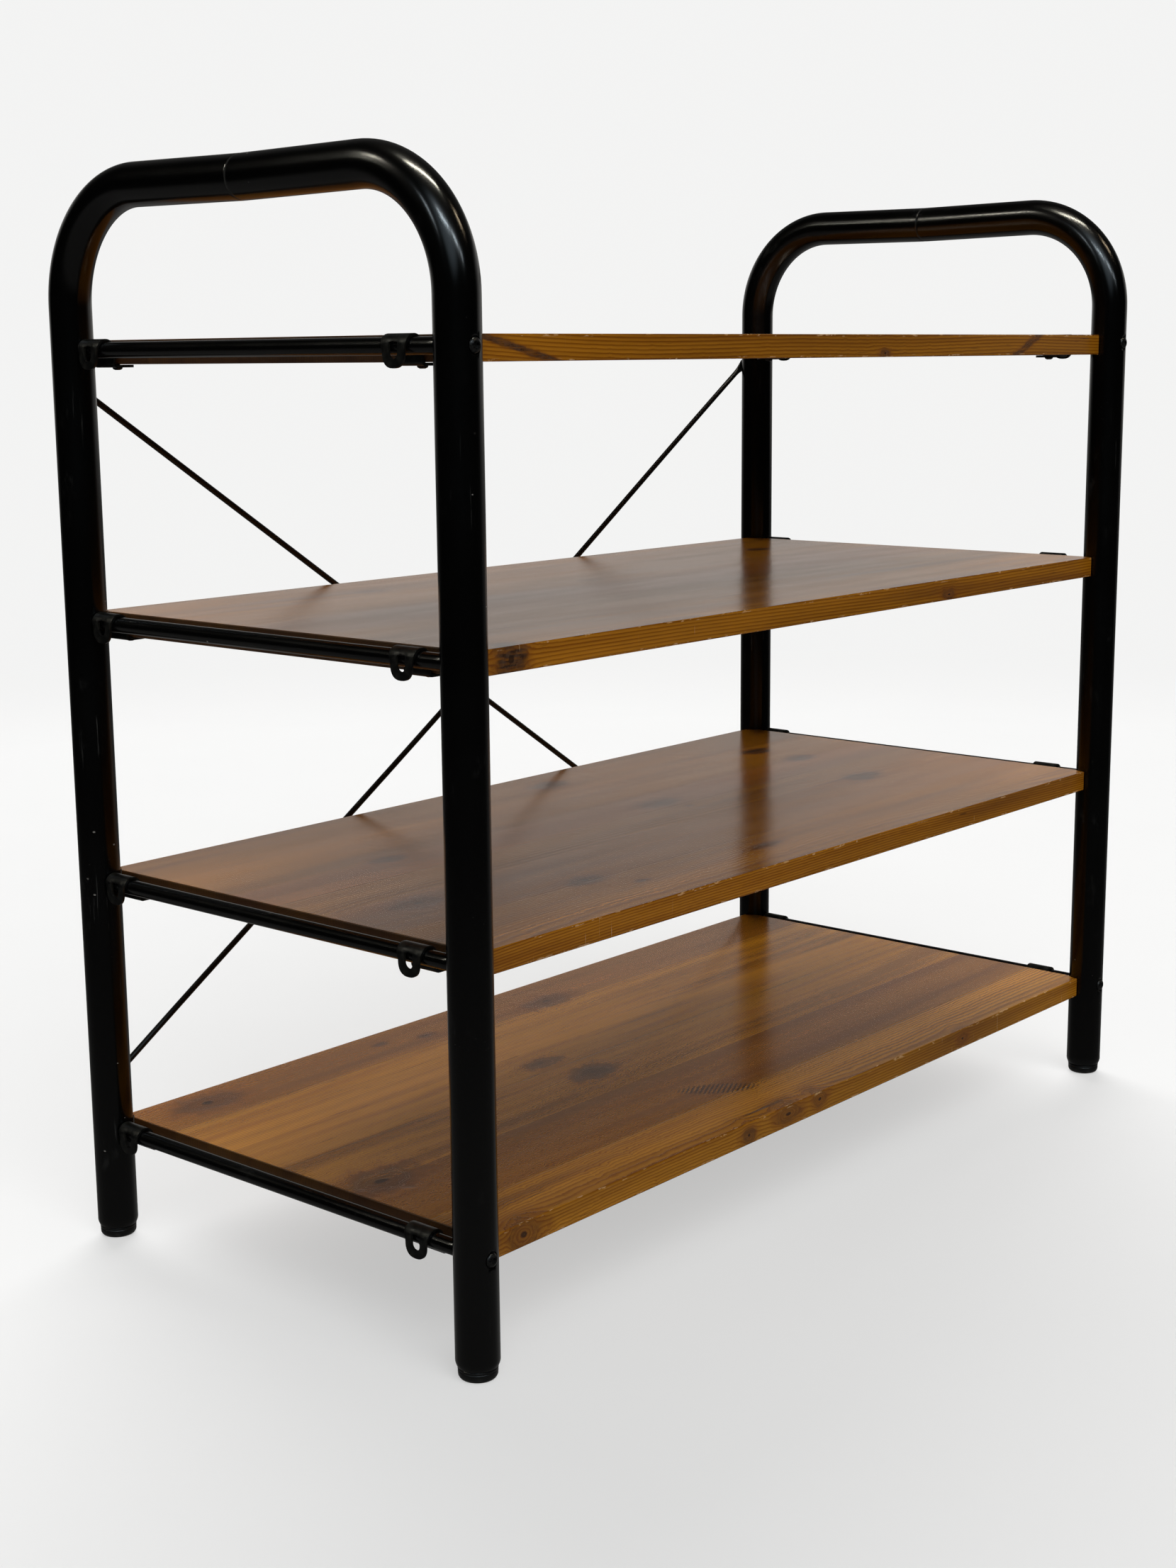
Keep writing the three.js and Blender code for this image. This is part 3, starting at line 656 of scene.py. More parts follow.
def arch_line():
    """The half arch's centreline from foot to seam, as (distance towards the seam, height, angle)."""
    leg_top = TUBE_TOP - TUBE_RADIUS - BEND_RADIUS
    swage = [(0.0, TUBE_BOTTOM + SWAGE_HEIGHT * share, 0.0) for share in (0, 0.1, 0.25, 0.45, 0.7, 1, 1.6)]
    margin = 9 * MM
    holes = []
    for height in ROD_HEIGHTS.values():
        holes += [(0.0, height - margin, 0.0), (0.0, height + margin, 0.0)]
    bend = []
    total = pi / 2 + ARM_DROOP
    steps = 30
    for step in range(steps + 1):
        angle = total * step / steps
        bend.append((BEND_RADIUS * (1 - cos(angle)), leg_top + BEND_RADIUS * sin(angle), angle))
    u, w, angle = bend[-1]
    arm = (POST_Y - SEAM_HALF_GAP - u) / cos(ARM_DROOP)
    ends = [(u + reach * cos(ARM_DROOP), w - reach * sin(ARM_DROOP), angle)
            for reach in (arm * 0.5, arm - 4 * MM, arm - 1.8 * MM, arm - 1 * MM, arm)]
    return swage + sorted(holes, key=lambda s: s[1]) + bend + ends


def dimple_cutter(at, axis):
    """A bolt hole with a shallow flared dimple round it, opening against the axis."""
    flare = [(7.6, -18.0), (7.1, -15.9), (6.2, -15.5), (5.9, -15.0), (5.6, -14.7)]
    profile = [(radius * MM, depth * MM) for radius, depth in flare]
    profile += [(ROD_BOLT_HOLE_RADIUS, -14.7 * MM), (ROD_BOLT_HOLE_RADIUS, -4 * MM)]
    return turned_cutter(at, axis, profile)


def arch_tube(side, face, material):
    """Half an arch: a bent tube with a swaged foot, its holes and its bolt dimples."""
    toward = -FACES[face]
    count = 64
    outer, inner = [], []
    line = arch_line()
    for index, (u, w, angle) in enumerate(line):
        centre = Vector((SIDES[side] * POST_X, FACES[face] * POST_Y + toward * u, w))
        up = Vector((0, cos(angle) * toward, -sin(angle)))
        drop = max(0.0, (TUBE_BOTTOM + SWAGE_HEIGHT - w) / SWAGE_HEIGHT)
        shrink = SWAGE_DEPTH * drop ** 1.5
        # the first and last loops are pulled in a little, so the mouth and the seam have a rounded lip
        lip = 0.35 * MM if index in (0, len(line) - 1) else 0.0
        outer.append(ring(centre, X_AXIS, up, TUBE_RADIUS - shrink - lip, count))
        inner.append(ring(centre, X_AXIS, up, TUBE_RADIUS - TUBE_WALL - shrink, count))
    name = f"arch_{face}_{side}"
    tube = new_object(name, loft(name, outer + inner[::-1], closed=True), material)
    cutters = []
    axis = Y_AXIS * toward
    post = Vector((SIDES[side] * POST_X, FACES[face] * POST_Y, 0))
    for shelf, height in ROD_HEIGHTS.items():
        at = post + Z_AXIS * height
        cutters.append(hole_cutter(at, axis, 4 * MM, 20 * MM, ROD_HOLE_RADIUS))
        if shelf in BOLTED_RODS:
            cutters.append(dimple_cutter(at, axis))
    if face == "back":
        for level in LEVELS:
            at = post + Z_AXIS * middle(f"brace_bolt_{level}_{side}").z
            cutters.append(hole_cutter(at, axis, -20 * MM, -4 * MM, BRACE_BOLT_HOLE_RADIUS))
    cut(tube, cutters)
    smoothed(tube.data)
    return place(tube, "frame", "black_paint", f"arch_tube_{face}_{side}")


# ---- feet, rods, bolts and braces


def foot_cap(side, face, mesh):
    cap = new_object(f"foot_{face}_{side}", mesh, mesh.materials[0])
    cap.location = (SIDES[side] * POST_X, FACES[face] * POST_Y, 0)
    return place(cap, "frame", "foot_plastic", f"foot_cap_{face}_{side}")


def foot_cap_mesh(material):
    """A turned cap: a domed foot with a bead, and a stem that goes up into the leg."""
    seat = TUBE_BOTTOM - 0.3 * MM
    stem = 12.4 * MM
    profile = [
        (0.4 * MM, 1.2 * MM), (7.5 * MM, 1.2 * MM), (8.2 * MM, 0), (10.5 * MM, 0), (12.9 * MM, 0.9 * MM),
        (14.1 * MM, 2.8 * MM), (CAP_RADIUS - 0.15 * MM, 5 * MM), (CAP_RADIUS - 0.15 * MM, 6.4 * MM),
        (CAP_RADIUS - 0.5 * MM, 6.8 * MM), (CAP_RADIUS, 7.2 * MM), (CAP_RADIUS, seat), (stem, seat),
        (stem, CAP_TOP - 1 * MM), (stem - 1 * MM, CAP_TOP), (0.4 * MM, CAP_TOP),
    ]
    mesh = lathe("foot_cap", rounded(profile, 0.5 * MM), 56)
    mesh.materials.append(material)
    return smoothed(mesh)


def cross_rod(shelf, side, material):
    """A round rod with chamfered ends, drilled for a bolt where the posts have one."""
    x, z = SIDES[side] * POST_X, ROD_HEIGHTS[shelf]
    chamfer = 0.8 * MM
    profile = [(-ROD_END_Y, ROD_RADIUS - chamfer), (-ROD_END_Y + 0.3 * chamfer, ROD_RADIUS - 0.3 * chamfer),
               (-ROD_END_Y + chamfer, ROD_RADIUS)]
    profile += [(y, ROD_RADIUS) for y in (-0.18, -0.06, 0.06, 0.18)]
    profile += [(-y, r) for y, r in profile[:3][::-1]]
    loops = [ring(Vector((x, y, z)), X_AXIS, Z_AXIS, r, 40) for y, r in profile]
    name = f"rod_{shelf}_{side}"
    rod = new_object(name, loft(name, loops), material)
    if shelf in BOLTED_RODS:
        cut(rod, [hole_cutter(Vector((x, end * ROD_END_Y, z)), Y_AXIS * end, -16 * MM, 2 * MM,
                              ROD_BOLT_HOLE_RADIUS, 24) for end in (-1, 1)])
    smoothed(rod.data)
    return place(rod, "frame", "rod_paint", f"cross_rod_{shelf}_{side}")


def socket_bolt_mesh(node, head_radius, head_height, shank, socket, material):
    """A button-headed socket bolt about +Z with its head's underside at z = 0."""
    low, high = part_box(node)
    length = (high.y - low.y) - head_height
    profile = [(0.3 * MM, -length), (shank - 0.5 * MM, -length), (shank, -length + 0.7 * MM), (shank, 0),
               (head_radius, 0), (head_radius, head_height * 0.22), (head_radius * 0.9, head_height * 0.62),
               (head_radius * 0.62, head_height * 0.97), (head_radius * 0.5, head_height),
               (0.3 * MM, head_height)]
    mesh = lathe("bolt", rounded(profile, 0.45 * MM), 48)
    bolt = new_object("bolt", mesh, material)
    cut(bolt, [lathe("socket", [(socket, head_height * 0.4), (socket, head_height + 1 * MM)], 6)])
    smoothed(bolt.data)
    return only_mesh(bolt)


def bolt(node, name, mesh, head_height):
    """Places a bolt where its CAD node is; bolts on the back face point the other way."""
    low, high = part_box(node)
    centre = (low + high) / 2
    piece = new_object(name, mesh, mesh.materials[0])
    front = centre.y < 0
    seat = low.y + head_height if front else high.y - head_height
    piece.location = (centre.x, seat, centre.z)
    piece.rotation_euler = (pi / 2 if front else -pi / 2, 0, 0)
    return place(piece, "frame", "bolt_steel", node)


def brace(name, node, rises_right, bow, material):
    """A thin rod with hammered, drilled ends, bowed a little so that the two pass at their crossing."""
    left = middle(f"brace_bolt_{'bottom' if rises_right else 'top'}_left")
    right = middle(f"brace_bolt_{'top' if rises_right else 'bottom'}_right")
    radius, eye_width, eye_thickness, tip = 2.5 * MM, 5.5 * MM, 1 * MM, 5.5 * MM
    plane_y = POST_Y + TUBE_RADIUS + 0.3 * MM + eye_thickness
    start = Vector((left.x, plane_y, left.z))
    end = Vector((right.x, plane_y, right.z))
    span = (end - start).length
    along = (end - start).normalized()
    width = Y_AXIS.cross(along).normalized()
    # (distance from the first bolt, half width, half thickness) from the hammered tip to the other one
    stations = []
    for share in (0.0, 0.04, 0.12, 0.25, 0.45, 0.7, 1.0):
        reach = tip * share
        wide = eye_width * sqrt(1 - (1 - share) ** 2) if share else 0.6 * MM
        stations.append((-tip + reach, wide, eye_thickness))
    for reach, wide, thick in ((4.5, 5.2, 1.0), (8, 4.4, 1.25), (12, 3.3, 1.8), (16, 2.65, 2.4)):
        stations.append((reach * MM, wide * MM, thick * MM))
    round_from = 20 * MM
    stations.append((round_from, radius, radius))
    half = list(stations)
    steps = 24
    for step in range(1, steps):
        stations.append((round_from + (span - 2 * round_from) * step / steps, radius, radius))
    stations += [(span - reach, wide, thick) for reach, wide, thick in half[::-1]]
    loops = []
    for reach, wide, thick in stations:
        inside = min(max(reach / span, 0.0), 1.0)
        centre = start + along * reach - Y_AXIS * bow * sin(pi * inside) ** 2
        loops.append(ring(centre, width, Y_AXIS, wide, 20, thick / wide))
    rod = new_object(name, loft(name, loops), material)
    cut(rod, [hole_cutter(point, Y_AXIS, -4 * MM, 4 * MM, BRACE_BOLT_HOLE_RADIUS, 28)
              for point in (start, end)])
    smoothed(rod.data, 35)
    return place(rod, "frame", "rod_paint", node)


# ---- shelf boards


def board(shelf, material):
    """A board with relieved corners and softly rounded arrises."""
    low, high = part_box(f"shelf_{shelf}")
    reach_x = sqrt(NOTCH_RADIUS ** 2 - (POST_Y - BOARD_HALF_Y) ** 2)
    reach_y = sqrt(NOTCH_RADIUS ** 2 - (POST_X - BOARD_HALF_X) ** 2)
    at_end = atan2(-reach_y, BOARD_HALF_X - POST_X)
    at_edge = atan2(BOARD_HALF_Y - POST_Y, -reach_x)
    steps = 14
    angles = [at_end + (at_edge - at_end) * step / steps for step in range(steps + 1)]
    arc = [(POST_X + NOTCH_RADIUS * cos(a), POST_Y + NOTCH_RADIUS * sin(a)) for a in angles]
    outline = []
    for side_x, side_y in ((1, 1), (-1, 1), (-1, -1), (1, -1)):
        corner = arc if side_x == side_y else arc[::-1]
        outline += [(side_x * x, side_y * y) for x, y in corner]
    bm = bmesh.new()
    bottom = bm.faces.new([bm.verts.new((x, y, low.z)) for x, y in outline])
    grown = bmesh.ops.extrude_face_region(bm, geom=[bottom])
    top = [v for v in grown["geom"] if isinstance(v, bmesh.types.BMVert)]
    bmesh.ops.translate(bm, verts=top, vec=(0, 0, high.z - low.z))
    bmesh.ops.recalc_face_normals(bm, faces=bm.faces)
    name = f"board_{shelf}"
    piece = new_object(name, finished(bm, name), material)
    bevel = piece.modifiers.new("arris", "BEVEL")
    bevel.width = 1.3 * MM
    bevel.segments = 3
    bevel.limit_method = "ANGLE"
    bevel.angle_limit = radians(35)
    bevel.harden_normals = True
    piece.data.shade_smooth()
    bake_modifiers(piece)
    return place(piece, f"shelf_{shelf}_board", "varnished_pine", f"shelf_{shelf}")


# ---- clips


def clip_mesh(material):
    """A steel blank with a round-ended, slotted tab, bent over the rod and under the board. The rod's axis
    is the Y axis and the board lies towards +X. The blank is drawn flat, then bent."""
    bend_radius = ROD_RADIUS + CLIP_GAP + CLIP_STEEL / 2
    drop = 14.3 * MM
    plate_z = (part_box("shelf_1")[0].z - ROD_HEIGHTS[1]) - CLIP_GAP - CLIP_STEEL / 2
    foot_radius = 2.2 * MM
    leg = -plate_z - foot_radius
    plate = 31 * MM - bend_radius - foot_radius
    over = pi * bend_radius
    turn = pi / 2 * foot_radius
    # where the stretches of the blank end: over the rod, down the leg and round the foot
    over_end = drop + over
    leg_end = over_end + leg
    turn_end = leg_end + turn
    length = turn_end + plate
    tab_half, strap_half = 10.75 * MM, 12 * MM
    slot_half, slot_start = 4.15 * MM, drop - 8.4 * MM
    slot_end = drop + bend_radius * asin(2.7 * MM / bend_radius)

    def half_width(s):
        if s < tab_half:
            # squarer than a half circle at its tip
            return 0.93 * tab_half * (1 - (1 - s / tab_half) ** 2.5) ** (1 / 2.5)
        if s > length - strap_half:
            return sqrt(max(0.0, strap_half ** 2 - (s - length + strap_half) ** 2))
        t = min(1.0, max(0.0, (s - tab_half) / (8 * MM)))
        return 0.93 * tab_half + (strap_half - 0.93 * tab_half) * t * t * (3 - 2 * t)

    def slot_width(s):
        if s <= slot_start or s >= slot_end:
            return 0.0
        lower = slot_start + slot_half
        if s < lower:
            return sqrt(max(0.0, slot_half ** 2 - (lower - s) ** 2))
        corner = 1.2 * MM
        if s > slot_end - corner:
            return slot_half - corner + sqrt(corner ** 2 - (s - slot_end + corner) ** 2)
        return slot_half

    def bent(s, v, lift):
        """Where a point of the blank ends up; lift is along the outer side of the sheet."""
        if s < drop:
            at, out = Vector((-bend_radius, 0, s - drop)), -X_AXIS
        elif s < over_end:
            a = pi - (s - drop) / bend_radius
            out = Vector((cos(a), 0, sin(a)))
            at = out * bend_radius
        elif s < leg_end:
            at, out = Vector((bend_radius, 0, over_end - s)), X_AXIS
        elif s < turn_end:
            a = (s - leg_end) / foot_radius
            out = Vector((cos(a), 0, sin(a)))
            at = Vector((bend_radius + foot_radius, 0, plate_z + foot_radius)) - out * foot_radius
        else:
            at, out = Vector((bend_radius + foot_radius + s - turn_end, 0, plate_z)), Z_AXIS
        return at + out * lift + Y_AXIS * v

    def cosine(low, high, steps):
        return [low + (high - low) * (1 - cos(pi * i / steps)) / 2 for i in range(steps + 1)]

    rows = cosine(0, tab_half, 12)[:7] + cosine(slot_start, slot_start + 2 * slot_half, 16)[:9]
    rows += [slot_start + slot_half + (slot_end - slot_start - slot_half) * i / 7 for i in range(1, 7)]
    rows += [slot_end - 1.2 * MM * (1 - sin(pi / 2 * i / 4)) for i in range(5)]
    rows += [slot_end + (over_end - slot_end) * i / 16 for i in range(1, 17)]
    rows += [over_end + leg * i / 3 for i in range(1, 4)]
    rows += [leg_end + turn * i / 6 for i in range(1, 7)]
    rows += [length - strap_half - (plate - strap_half) * (1 - i / 3) for i in range(1, 4)]
    rows += cosine(length - 2 * strap_half, length, 24)[13:]
    rows = sorted(set(round(s, 7) for s in rows))

    half_columns = 6
    bm = bmesh.new()
    grid = []
    for s in rows:
        wide, slot = half_width(s), slot_width(s)
        line = []
        for sign in (-1, 1):
            for j in range(half_columns + 1):
                share = j / half_columns
                v = sign * (wide + (slot - wide) * share) if sign < 0 else slot + (wide - slot) * share
                # two pressed ribs beside the top of the slot
                near = exp(-((s - slot_end - 1.0 * MM) / (3.2 * MM)) ** 2)
                rib = exp(-((abs(v) - 6.6 * MM) / (1.3 * MM)) ** 2)
                line.append(bm.verts.new(bent(s, v, 0.5 * MM * near * rib)))
        grid.append(line)
    for a, b in zip(grid, grid[1:]):
        for j in range(2 * half_columns + 1):
            if j == half_columns:
                continue
            bm.faces.new((a[j], a[j + 1], b[j + 1], b[j]))
    bmesh.ops.remove_doubles(bm, verts=bm.verts, dist=2e-6)
    bmesh.ops.dissolve_degenerate(bm, edges=bm.edges, dist=2e-6)
    bmesh.ops.recalc_face_normals(bm, faces=bm.faces)
    piece = new_object("clip", finished(bm, "clip"), material)
    thick = piece.modifiers.new("steel", "SOLIDIFY")
    thick.thickness = CLIP_STEEL
    thick.offset = 0.0
    soft = piece.modifiers.new("edges", "BEVEL")
    soft.width = 0.3 * MM
    soft.segments = 2
    soft.limit_method = "ANGLE"
    soft.angle_limit = radians(50)
    bake_modifiers(piece)
    smoothed(piece.data, 40)
    return only_mesh(piece)


def screw_mesh(material):
    """A pan-head wood screw about +Z with a cross recess; its head's upper side is at z = 0."""
    profile = [(0.2 * MM, -1.9 * MM), (1.8 * MM, -1.9 * MM), (3.2 * MM, -1.3 * MM), (3.8 * MM, -0.5 * MM),
               (3.8 * MM, 0.0), (1.75 * MM, 0.0)]
    z = 0.0
    while z < 13.5 * MM:
        profile += [(1.75 * MM, z + 0.5 * MM), (2.1 * MM, z + 0.8 * MM), (1.75 * MM, z + 1.1 * MM)]
        z += 1.3 * MM
    profile += [(1.2 * MM, z + 0.3 * MM), (0.2 * MM, z + 1.6 * MM)]
    screw = new_object("screw", lathe("screw", profile, 24), material)
    slot_size = (3.8 * MM, 0.9 * MM, 2.2 * MM, 1)
    for turn in (0, pi / 2):
        bm = bmesh.new()
        bmesh.ops.create_cube(bm, size=1.0)
        shape = Matrix.Rotation(turn, 4, "Z") @ Matrix.Diagonal(slot_size)
        bmesh.ops.transform(bm, matrix=Matrix.Translation((0, 0, -2 * MM)) @ shape, verts=bm.verts)
        cut(screw, [finished(bm, "slot")])
    smoothed(screw.data)
    return only_mesh(screw)


def clip(shelf, side, face, mesh, screw):
    """A clip on its rod, and the screw that goes up through it into the board."""
    node = f"shelf_clip_{shelf}_{face}_{side}"
    at = Vector((SIDES[side] * POST_X, middle(node).y, ROD_HEIGHTS[shelf]))
    turn = pi if side == "right" else 0.0
    body = f"shelf_{shelf}_board"
    hook = new_object(f"clip_{shelf}_{face}_{side}", mesh, mesh.materials[0])
    hook.location = at
    hook.rotation_euler = (0, 0, turn)
    place(hook, body, "clip_steel", node)
    inboard = 19 * MM
    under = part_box(f"shelf_{shelf}")[0].z - CLIP_GAP - CLIP_STEEL
    pin = new_object(f"screw_{shelf}_{face}_{side}", screw, screw.materials[0])
    pin.location = (at.x - SIDES[side] * inboard, at.y, under)
    pin.rotation_euler = (0, 0, 0.4 + shelf * 0.7 + at.y)
    place(pin, body, "bolt_steel")


# ---- stage


BACKDROP = (0.90, 0.90, 0.895, 1.0)
ROOM_WHITE = (1.0, 0.985, 0.95, 1.0)
WINDOW_BLUE = (0.72, 0.88, 1.0, 1.0)
WALL_DIRECTION = (0.82, 0.57, 0.0)
GLOW_DIRECTION = (-0.64, -0.50, 0.58)


def floor():
    """A round pale floor that melts into the backdrop's brightness away from the object."""
    g = Finish("studio_floor")
    where = g.place_of()
    distance = g.node("VectorMath", {0: where}, "Value", operation="LENGTH")
    mottling = g.noise(where, 5.0, 3.0)
    colour = g.mix(mottling, (0.57, 0.566, 0.56, 1.0), (0.595, 0.59, 0.583, 1.0))
    g.set(Base_Color=colour, Roughness=0.85)
    glow = g.node("Emission", {"Color": BACKDROP, "Strength": 1.0})
    far = distance.remap(1.3, 3.4)
    # the camera sees a lit studio floor, whose shadows are only half as deep
    seen = g.node("LightPath", {}, "Is Camera Ray")
    blend = g.node("MixShader", {0: g.larger(far, seen * 0.55), 1: g.surface, 2: glow})
    g.join(g.output.inputs["Surface"], blend)
    bm = bmesh.new()
    bmesh.ops.create_circle(bm, cap_ends=True, radius=30.0, segments=96)
    piece = new_object("floor", finished(bm, "floor"), g.owner)
    piece.visible_glossy = False


def surroundings():
    """A pale backdrop for the camera. What the object reflects is a dim room: a bright wall behind it that
    dims with height, a grey floor, and a bluish glow high up on the camera's side."""
    world = bpy.data.worlds.new("studio")
    g = Graph(world)
    direction = g.node("TexCoord", {}, "Generated")
    height = g.split(direction)[2]

    def facing(target):
        return g.node("VectorMath", {0: direction, 1: target}, "Value", operation="DOT_PRODUCT")

    def background(colour, strength):
        return g.node("Background", {"Color": colour, "Strength": strength})

    behind = facing(WALL_DIRECTION).remap(0.3, 0.85)
    wall = behind * height.remap(0.20, 0.35, 0.50, 0.06)
    ground = behind * 0.08 + height.remap(-0.16, -0.40, 0.003, 0.09)
    above = height.remap(-0.06, 0.0)
    level = wall * above + ground * (1.0 - above) + 0.003
    glow = facing(GLOW_DIRECTION).remap(0.88, 0.985, 0.0, 0.9)
    room = g.node("AddShader", {0: background(ROOM_WHITE, level), 1: background(WINDOW_BLUE, glow)})
    seen = g.node("LightPath", {}, "Is Camera Ray")
    blend = g.node("MixShader", {0: seen, 1: room, 2: background(BACKDROP, 1.0)})
    g.add("OutputWorld", {"Surface": blend})
    bpy.context.scene.world = world


def lamp(name, data, position, target):
    made = linked(name, data)
    made.location = position
    aim = Vector(target) - Vector(position)
    made.rotation_euler = aim.to_track_quat("-Z", "Y").to_euler()
    made.visible_camera = False
    return made


def soft_sun(name, position, strength, spread):
    """Even light from one side, softened by its wide spread, and left out of reflections."""
    data = bpy.data.lights.new(name, "SUN")
    data.energy = strength
    data.angle = radians(spread)
    lamp(name, data, position, (0, 0, 0)).visible_glossy = False


def ceiling_tube(name, start, end, radiance, tint):
    """A narrow ceiling lamp that gives the paint its thin highlights."""
    start, end = Vector(start), Vector(end)
    length, width = (end - start).length, 0.09
    data = bpy.data.lights.new(name, "AREA")
    data.shape = "RECTANGLE"
    data.size, data.size_y = length, width
    data.energy = radiance * pi * length * width
    data.color = tint
    middle_point = (start + end) / 2
    made = lamp(name, data, middle_point, middle_point - Vector((0, 0, 1)))
    heading = end - start
    made.rotation_euler = (0, 0, atan2(heading.y, heading.x))
    made.visible_diffuse = False


def lights():
    soft_sun("front_sun", (-0.30, -0.70, 0.72), 2.05, 50)
    soft_sun("back_sun", (0.55, 0.60, 0.42), 6.4, 60)
    soft_sun("top_sun", (-0.15, -0.25, 0.95), 0.8, 60)
    ceiling = 3.3
    warm, cool, amber = (1.0, 0.95, 0.80), (0.80, 0.92, 1.0), (1.0, 0.80, 0.55)
    left_arch = Vector((-POST_X, -0.18, ceiling))
    along = Vector((0.707, -0.707, 0))
    # a row of lamps that passes over the left arch: distances along it, how bright, which colour
    for number, (near, far, radiance, tint) in enumerate((
            (-6.2, -4.4, 25.0, warm), (-3.9, -2.9, 90.0, warm), (-0.5, 1.0, 125.0, warm),
            (2.3, 3.4, 50.0, amber))):
        ceiling_tube(f"row_a_{number}", left_arch + along * near, left_arch + along * far, radiance, tint)
    # and a second row on the camera's side
    for number, (near, far, radiance) in enumerate((((-2.6, -1.4), (-2.0, -2.6), 100.0),
                                                    ((-1.8, -3.0), (-1.2, -4.3), 90.0),
                                                    ((-1.0, -4.8), (-0.5, -6.2), 60.0),
                                                    ((-4.3, 0.4), (-5.9, 0.1), 50.0))):
        ceiling_tube(f"row_b_{number}", (*near, ceiling), (*far, ceiling), radiance, cool)


def camera():
    """The photographer's place: in front, to the left and a little above, with a slight roll."""
    place_found = (-1.4643, -1.2017, 0.6997)
    azimuth, elevation, roll = map(radians, (-49.095, 11.001, -0.531))
    back = Vector((sin(azimuth) * cos(elevation), -cos(azimuth) * cos(elevation), sin(elevation)))
    right = Vector((cos(azimuth), sin(azimuth), 0.0))
    up = back.cross(right)
    tilted_right = right * cos(roll) + up * sin(roll)
    tilted_up = up * cos(roll) - right * sin(roll)
    data = bpy.data.cameras.new("camera")
    data.sensor_fit = "AUTO"
    data.sensor_width = 36.0
    data.lens = 50.576
    data.clip_start, data.clip_end = 0.01, 100.0
    lens = linked("camera", data)
    turned = Matrix((tilted_right, tilted_up, back)).transposed()
    lens.matrix_world = Matrix.Translation(place_found) @ turned.to_4x4()
    bpy.context.scene.camera = lens


# ---- everything together

# x and y from the board's middle in mm, then the radius; those from the front have a height instead of y
KNOTS = {
    1: [Knot(-361, 172, 13, 1.8, dark=0.55), Knot(-392, -66, 15, 1.7), Knot(-117, 162, 4, 2.0),
        Knot(-161, 176, 3, 2.0), Knot(32, 150, 10, 2.2, dark=0.45), Knot(-111, 28, 7, 2.0, dark=0.5),
        Knot(-99, -22, 11, 1.7, dark=0.75), Knot(-83, -193, 0.8, 26, (0.0, 0.4), 0.9),
        Knot(-384, 0, 9, 1.5, (0.3, 0), 0.25, True), Knot(-118, -1, 5, 1.5, dark=0.5, from_front=True),
        Knot(-64, 2, 6, 2.4, dark=0.3, from_front=True), Knot(-20, 3, 5, 1.6, dark=0.25, from_front=True),
        Knot(205, 0, 4, 1.8, dark=0.15, from_front=True)],
    2: [Knot(-262, 53, 7, 2.0), Knot(-351, -70, 10, 1.9, dark=0.45), Knot(-219, -119, 8, 2.0),
        Knot(-192, -153, 3, 2.0), Knot(48, 23, 9, 2.1, dark=0.55), Knot(313, 112, 8, 1.6, dark=0.85),
        Knot(-32, -154, 5, 3.0), Knot(56, -5, 2.5, 1.5), Knot(311, 56, 8, 2.0),
        Knot(267, -48, 9, 2.0, dark=0.65), Knot(48, 158, 9, 2.0, dark=0.65)],
    3: [Knot(308, 107, 7, 1.7, dark=0.75), Knot(-19, 44, 5, 2.4, dark=0.3), Knot(-200, 130, 6, 2.0, dark=0.3),
        Knot(-388, 0, 12, 1.0, (0.25, 0), 0.85, True), Knot(165, -4, 3, 2.6, dark=0.4, from_front=True)],
    4: [Knot(-378, -204, 5, 1.5, (-4.2, 0.0), dark=0.8), Knot(287, -203, 3, 1.8, (2.2, 0.0), dark=0.6),
        Knot(-150, 60, 11, 1.8), Knot(120, -60, 9, 1.9), Knot(250, 110, 8, 1.9),
        Knot(60, -6, 3, 1.8, dark=0.5, from_front=True)],
}
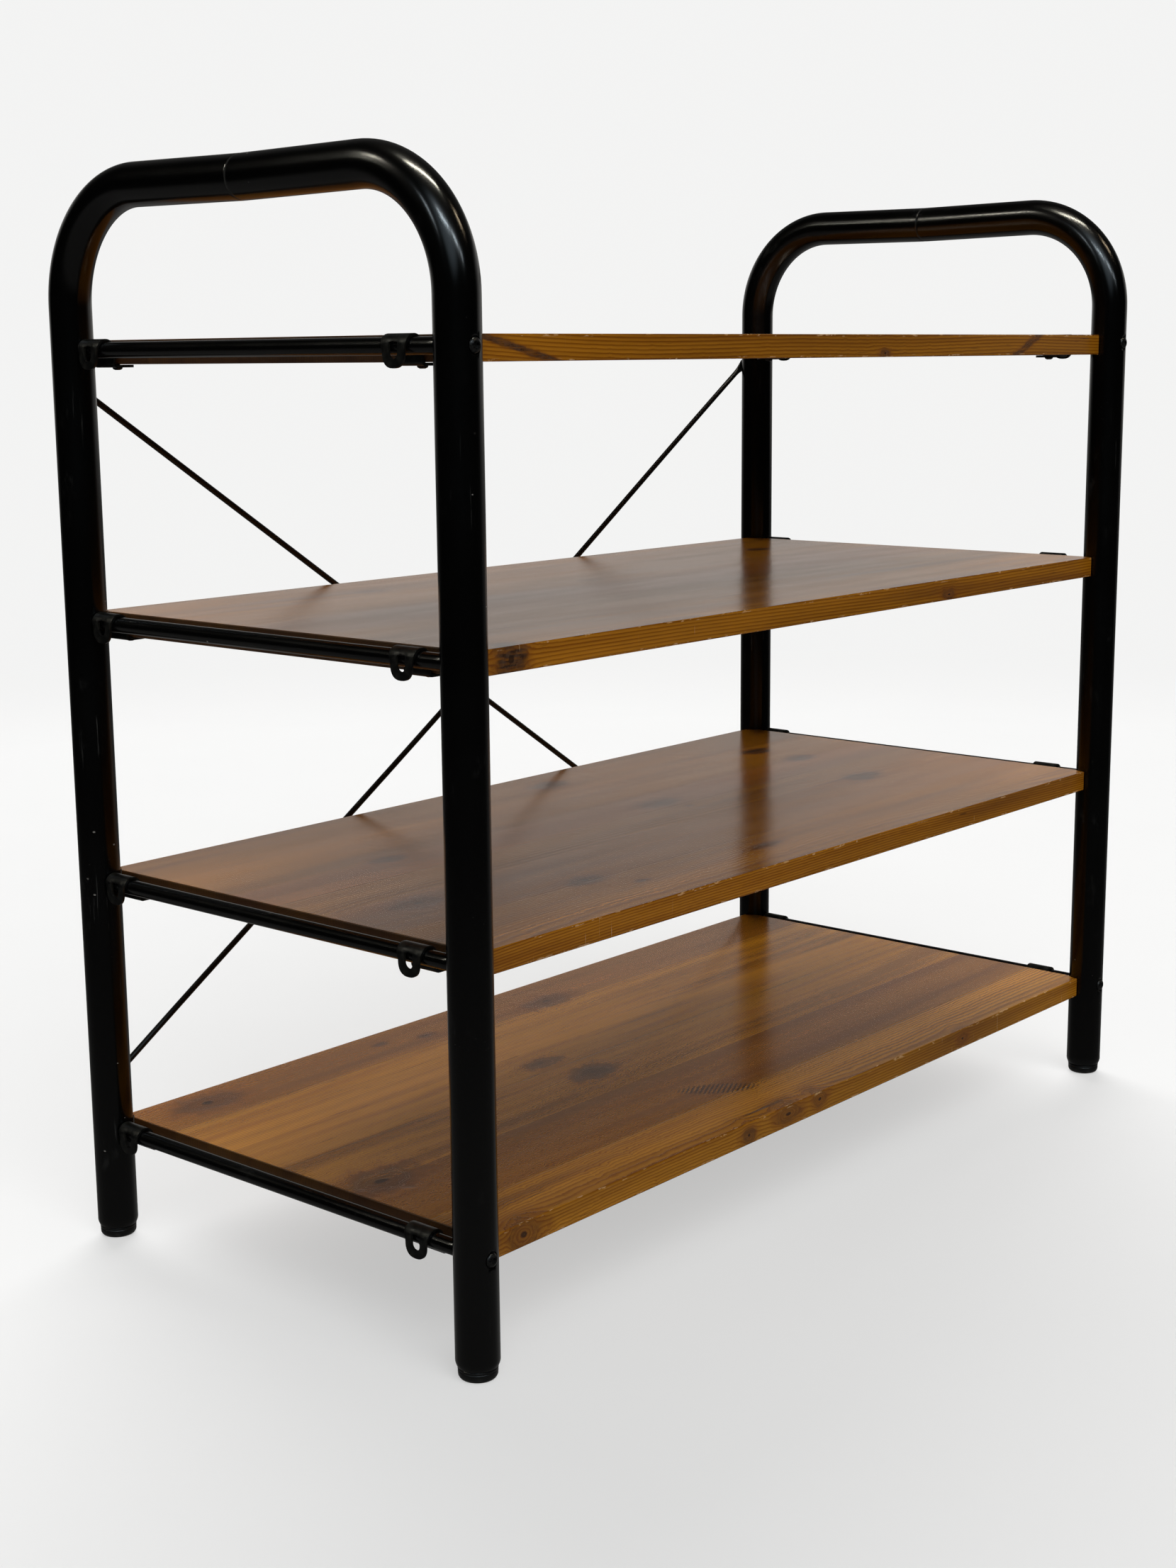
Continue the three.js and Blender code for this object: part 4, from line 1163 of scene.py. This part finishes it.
# places of the rippled figures, in the same way
RIPPLES = {1: [(-67, -131)], 2: [], 3: [], 4: []}
# the lowest board takes the brighter copy of the amber tones: painted light
TONES = {1: AMBER_PAINTED_BRIGHTER, 2: AMBER, 3: AMBER, 4: AMBER}
STAVE_COUNTS = {1: 6, 2: 6, 3: 5, 4: 6}


def make_object():
    """Every finish, every shared mesh, then the pieces side by side and shelf by shelf."""
    paint = black_paint("black_paint", 0.55, 0.0005, 0.19, seam=True)
    # the rods' strong grey scuff streaks are partly painted highlight: they stand in for the streaky
    # highlights along the rods
    rod_paint = black_paint("rod_paint", 0.6, 0.0008, 0.18)
    brace_paint = black_paint("brace_paint", 0.12, 0.0008, 0.42)
    sleeve_finish = sleeve_steel()
    clip_finish = dark_clip_steel()
    bolt_finish = bolt_steel()

    caps = foot_cap_mesh(foot_plastic())
    rod_head, brace_head = 2.3 * MM, 1.9 * MM
    rod_bolt = socket_bolt_mesh("rod_bolt_top_front_left", 5.25 * MM, rod_head, 3 * MM, 2.3 * MM,
                                bolt_finish)
    brace_bolt = socket_bolt_mesh("brace_bolt_top_left", 4.5 * MM, brace_head, 2.3 * MM, 1.9 * MM,
                                  bolt_finish)
    for side in SIDES:
        for face in FACES:
            arch_tube(side, face, paint)
            foot_cap(side, face, caps)
            for level in LEVELS:
                bolt(f"rod_bolt_{level}_{face}_{side}", f"bolt_{level}_{face}_{side}", rod_bolt, rod_head)
        for level in LEVELS:
            bolt(f"brace_bolt_{level}_{side}", f"bolt_brace_{level}_{side}", brace_bolt, brace_head)
        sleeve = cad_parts[f"arch_sleeve_{side}"].data
        sleeve.materials.clear()
        sleeve.materials.append(sleeve_finish)
    brace("brace_up_left", "brace_rising_left", False, 0.0, brace_paint)
    brace("brace_up_right", "brace_rising_right", True, 5.6 * MM, brace_paint)

    hook = clip_mesh(clip_finish)
    screw = screw_mesh(bolt_finish)
    for shelf in SHELVES:
        wood = Pine(f"pine_{shelf}", middle(f"shelf_{shelf}").z, shelf, STAVE_COUNTS[shelf], KNOTS[shelf],
                    TONES[shelf], RIPPLES[shelf])
        board(shelf, wood.owner)
        for side in SIDES:
            cross_rod(shelf, side, rod_paint)
            for face in FACES:
                clip(shelf, side, face, hook, screw)


camera()
surroundings()
floor()
lights()
make_object()

scene = bpy.context.scene
scene.view_settings.view_transform = "Standard"
scene.view_settings.look = "None"
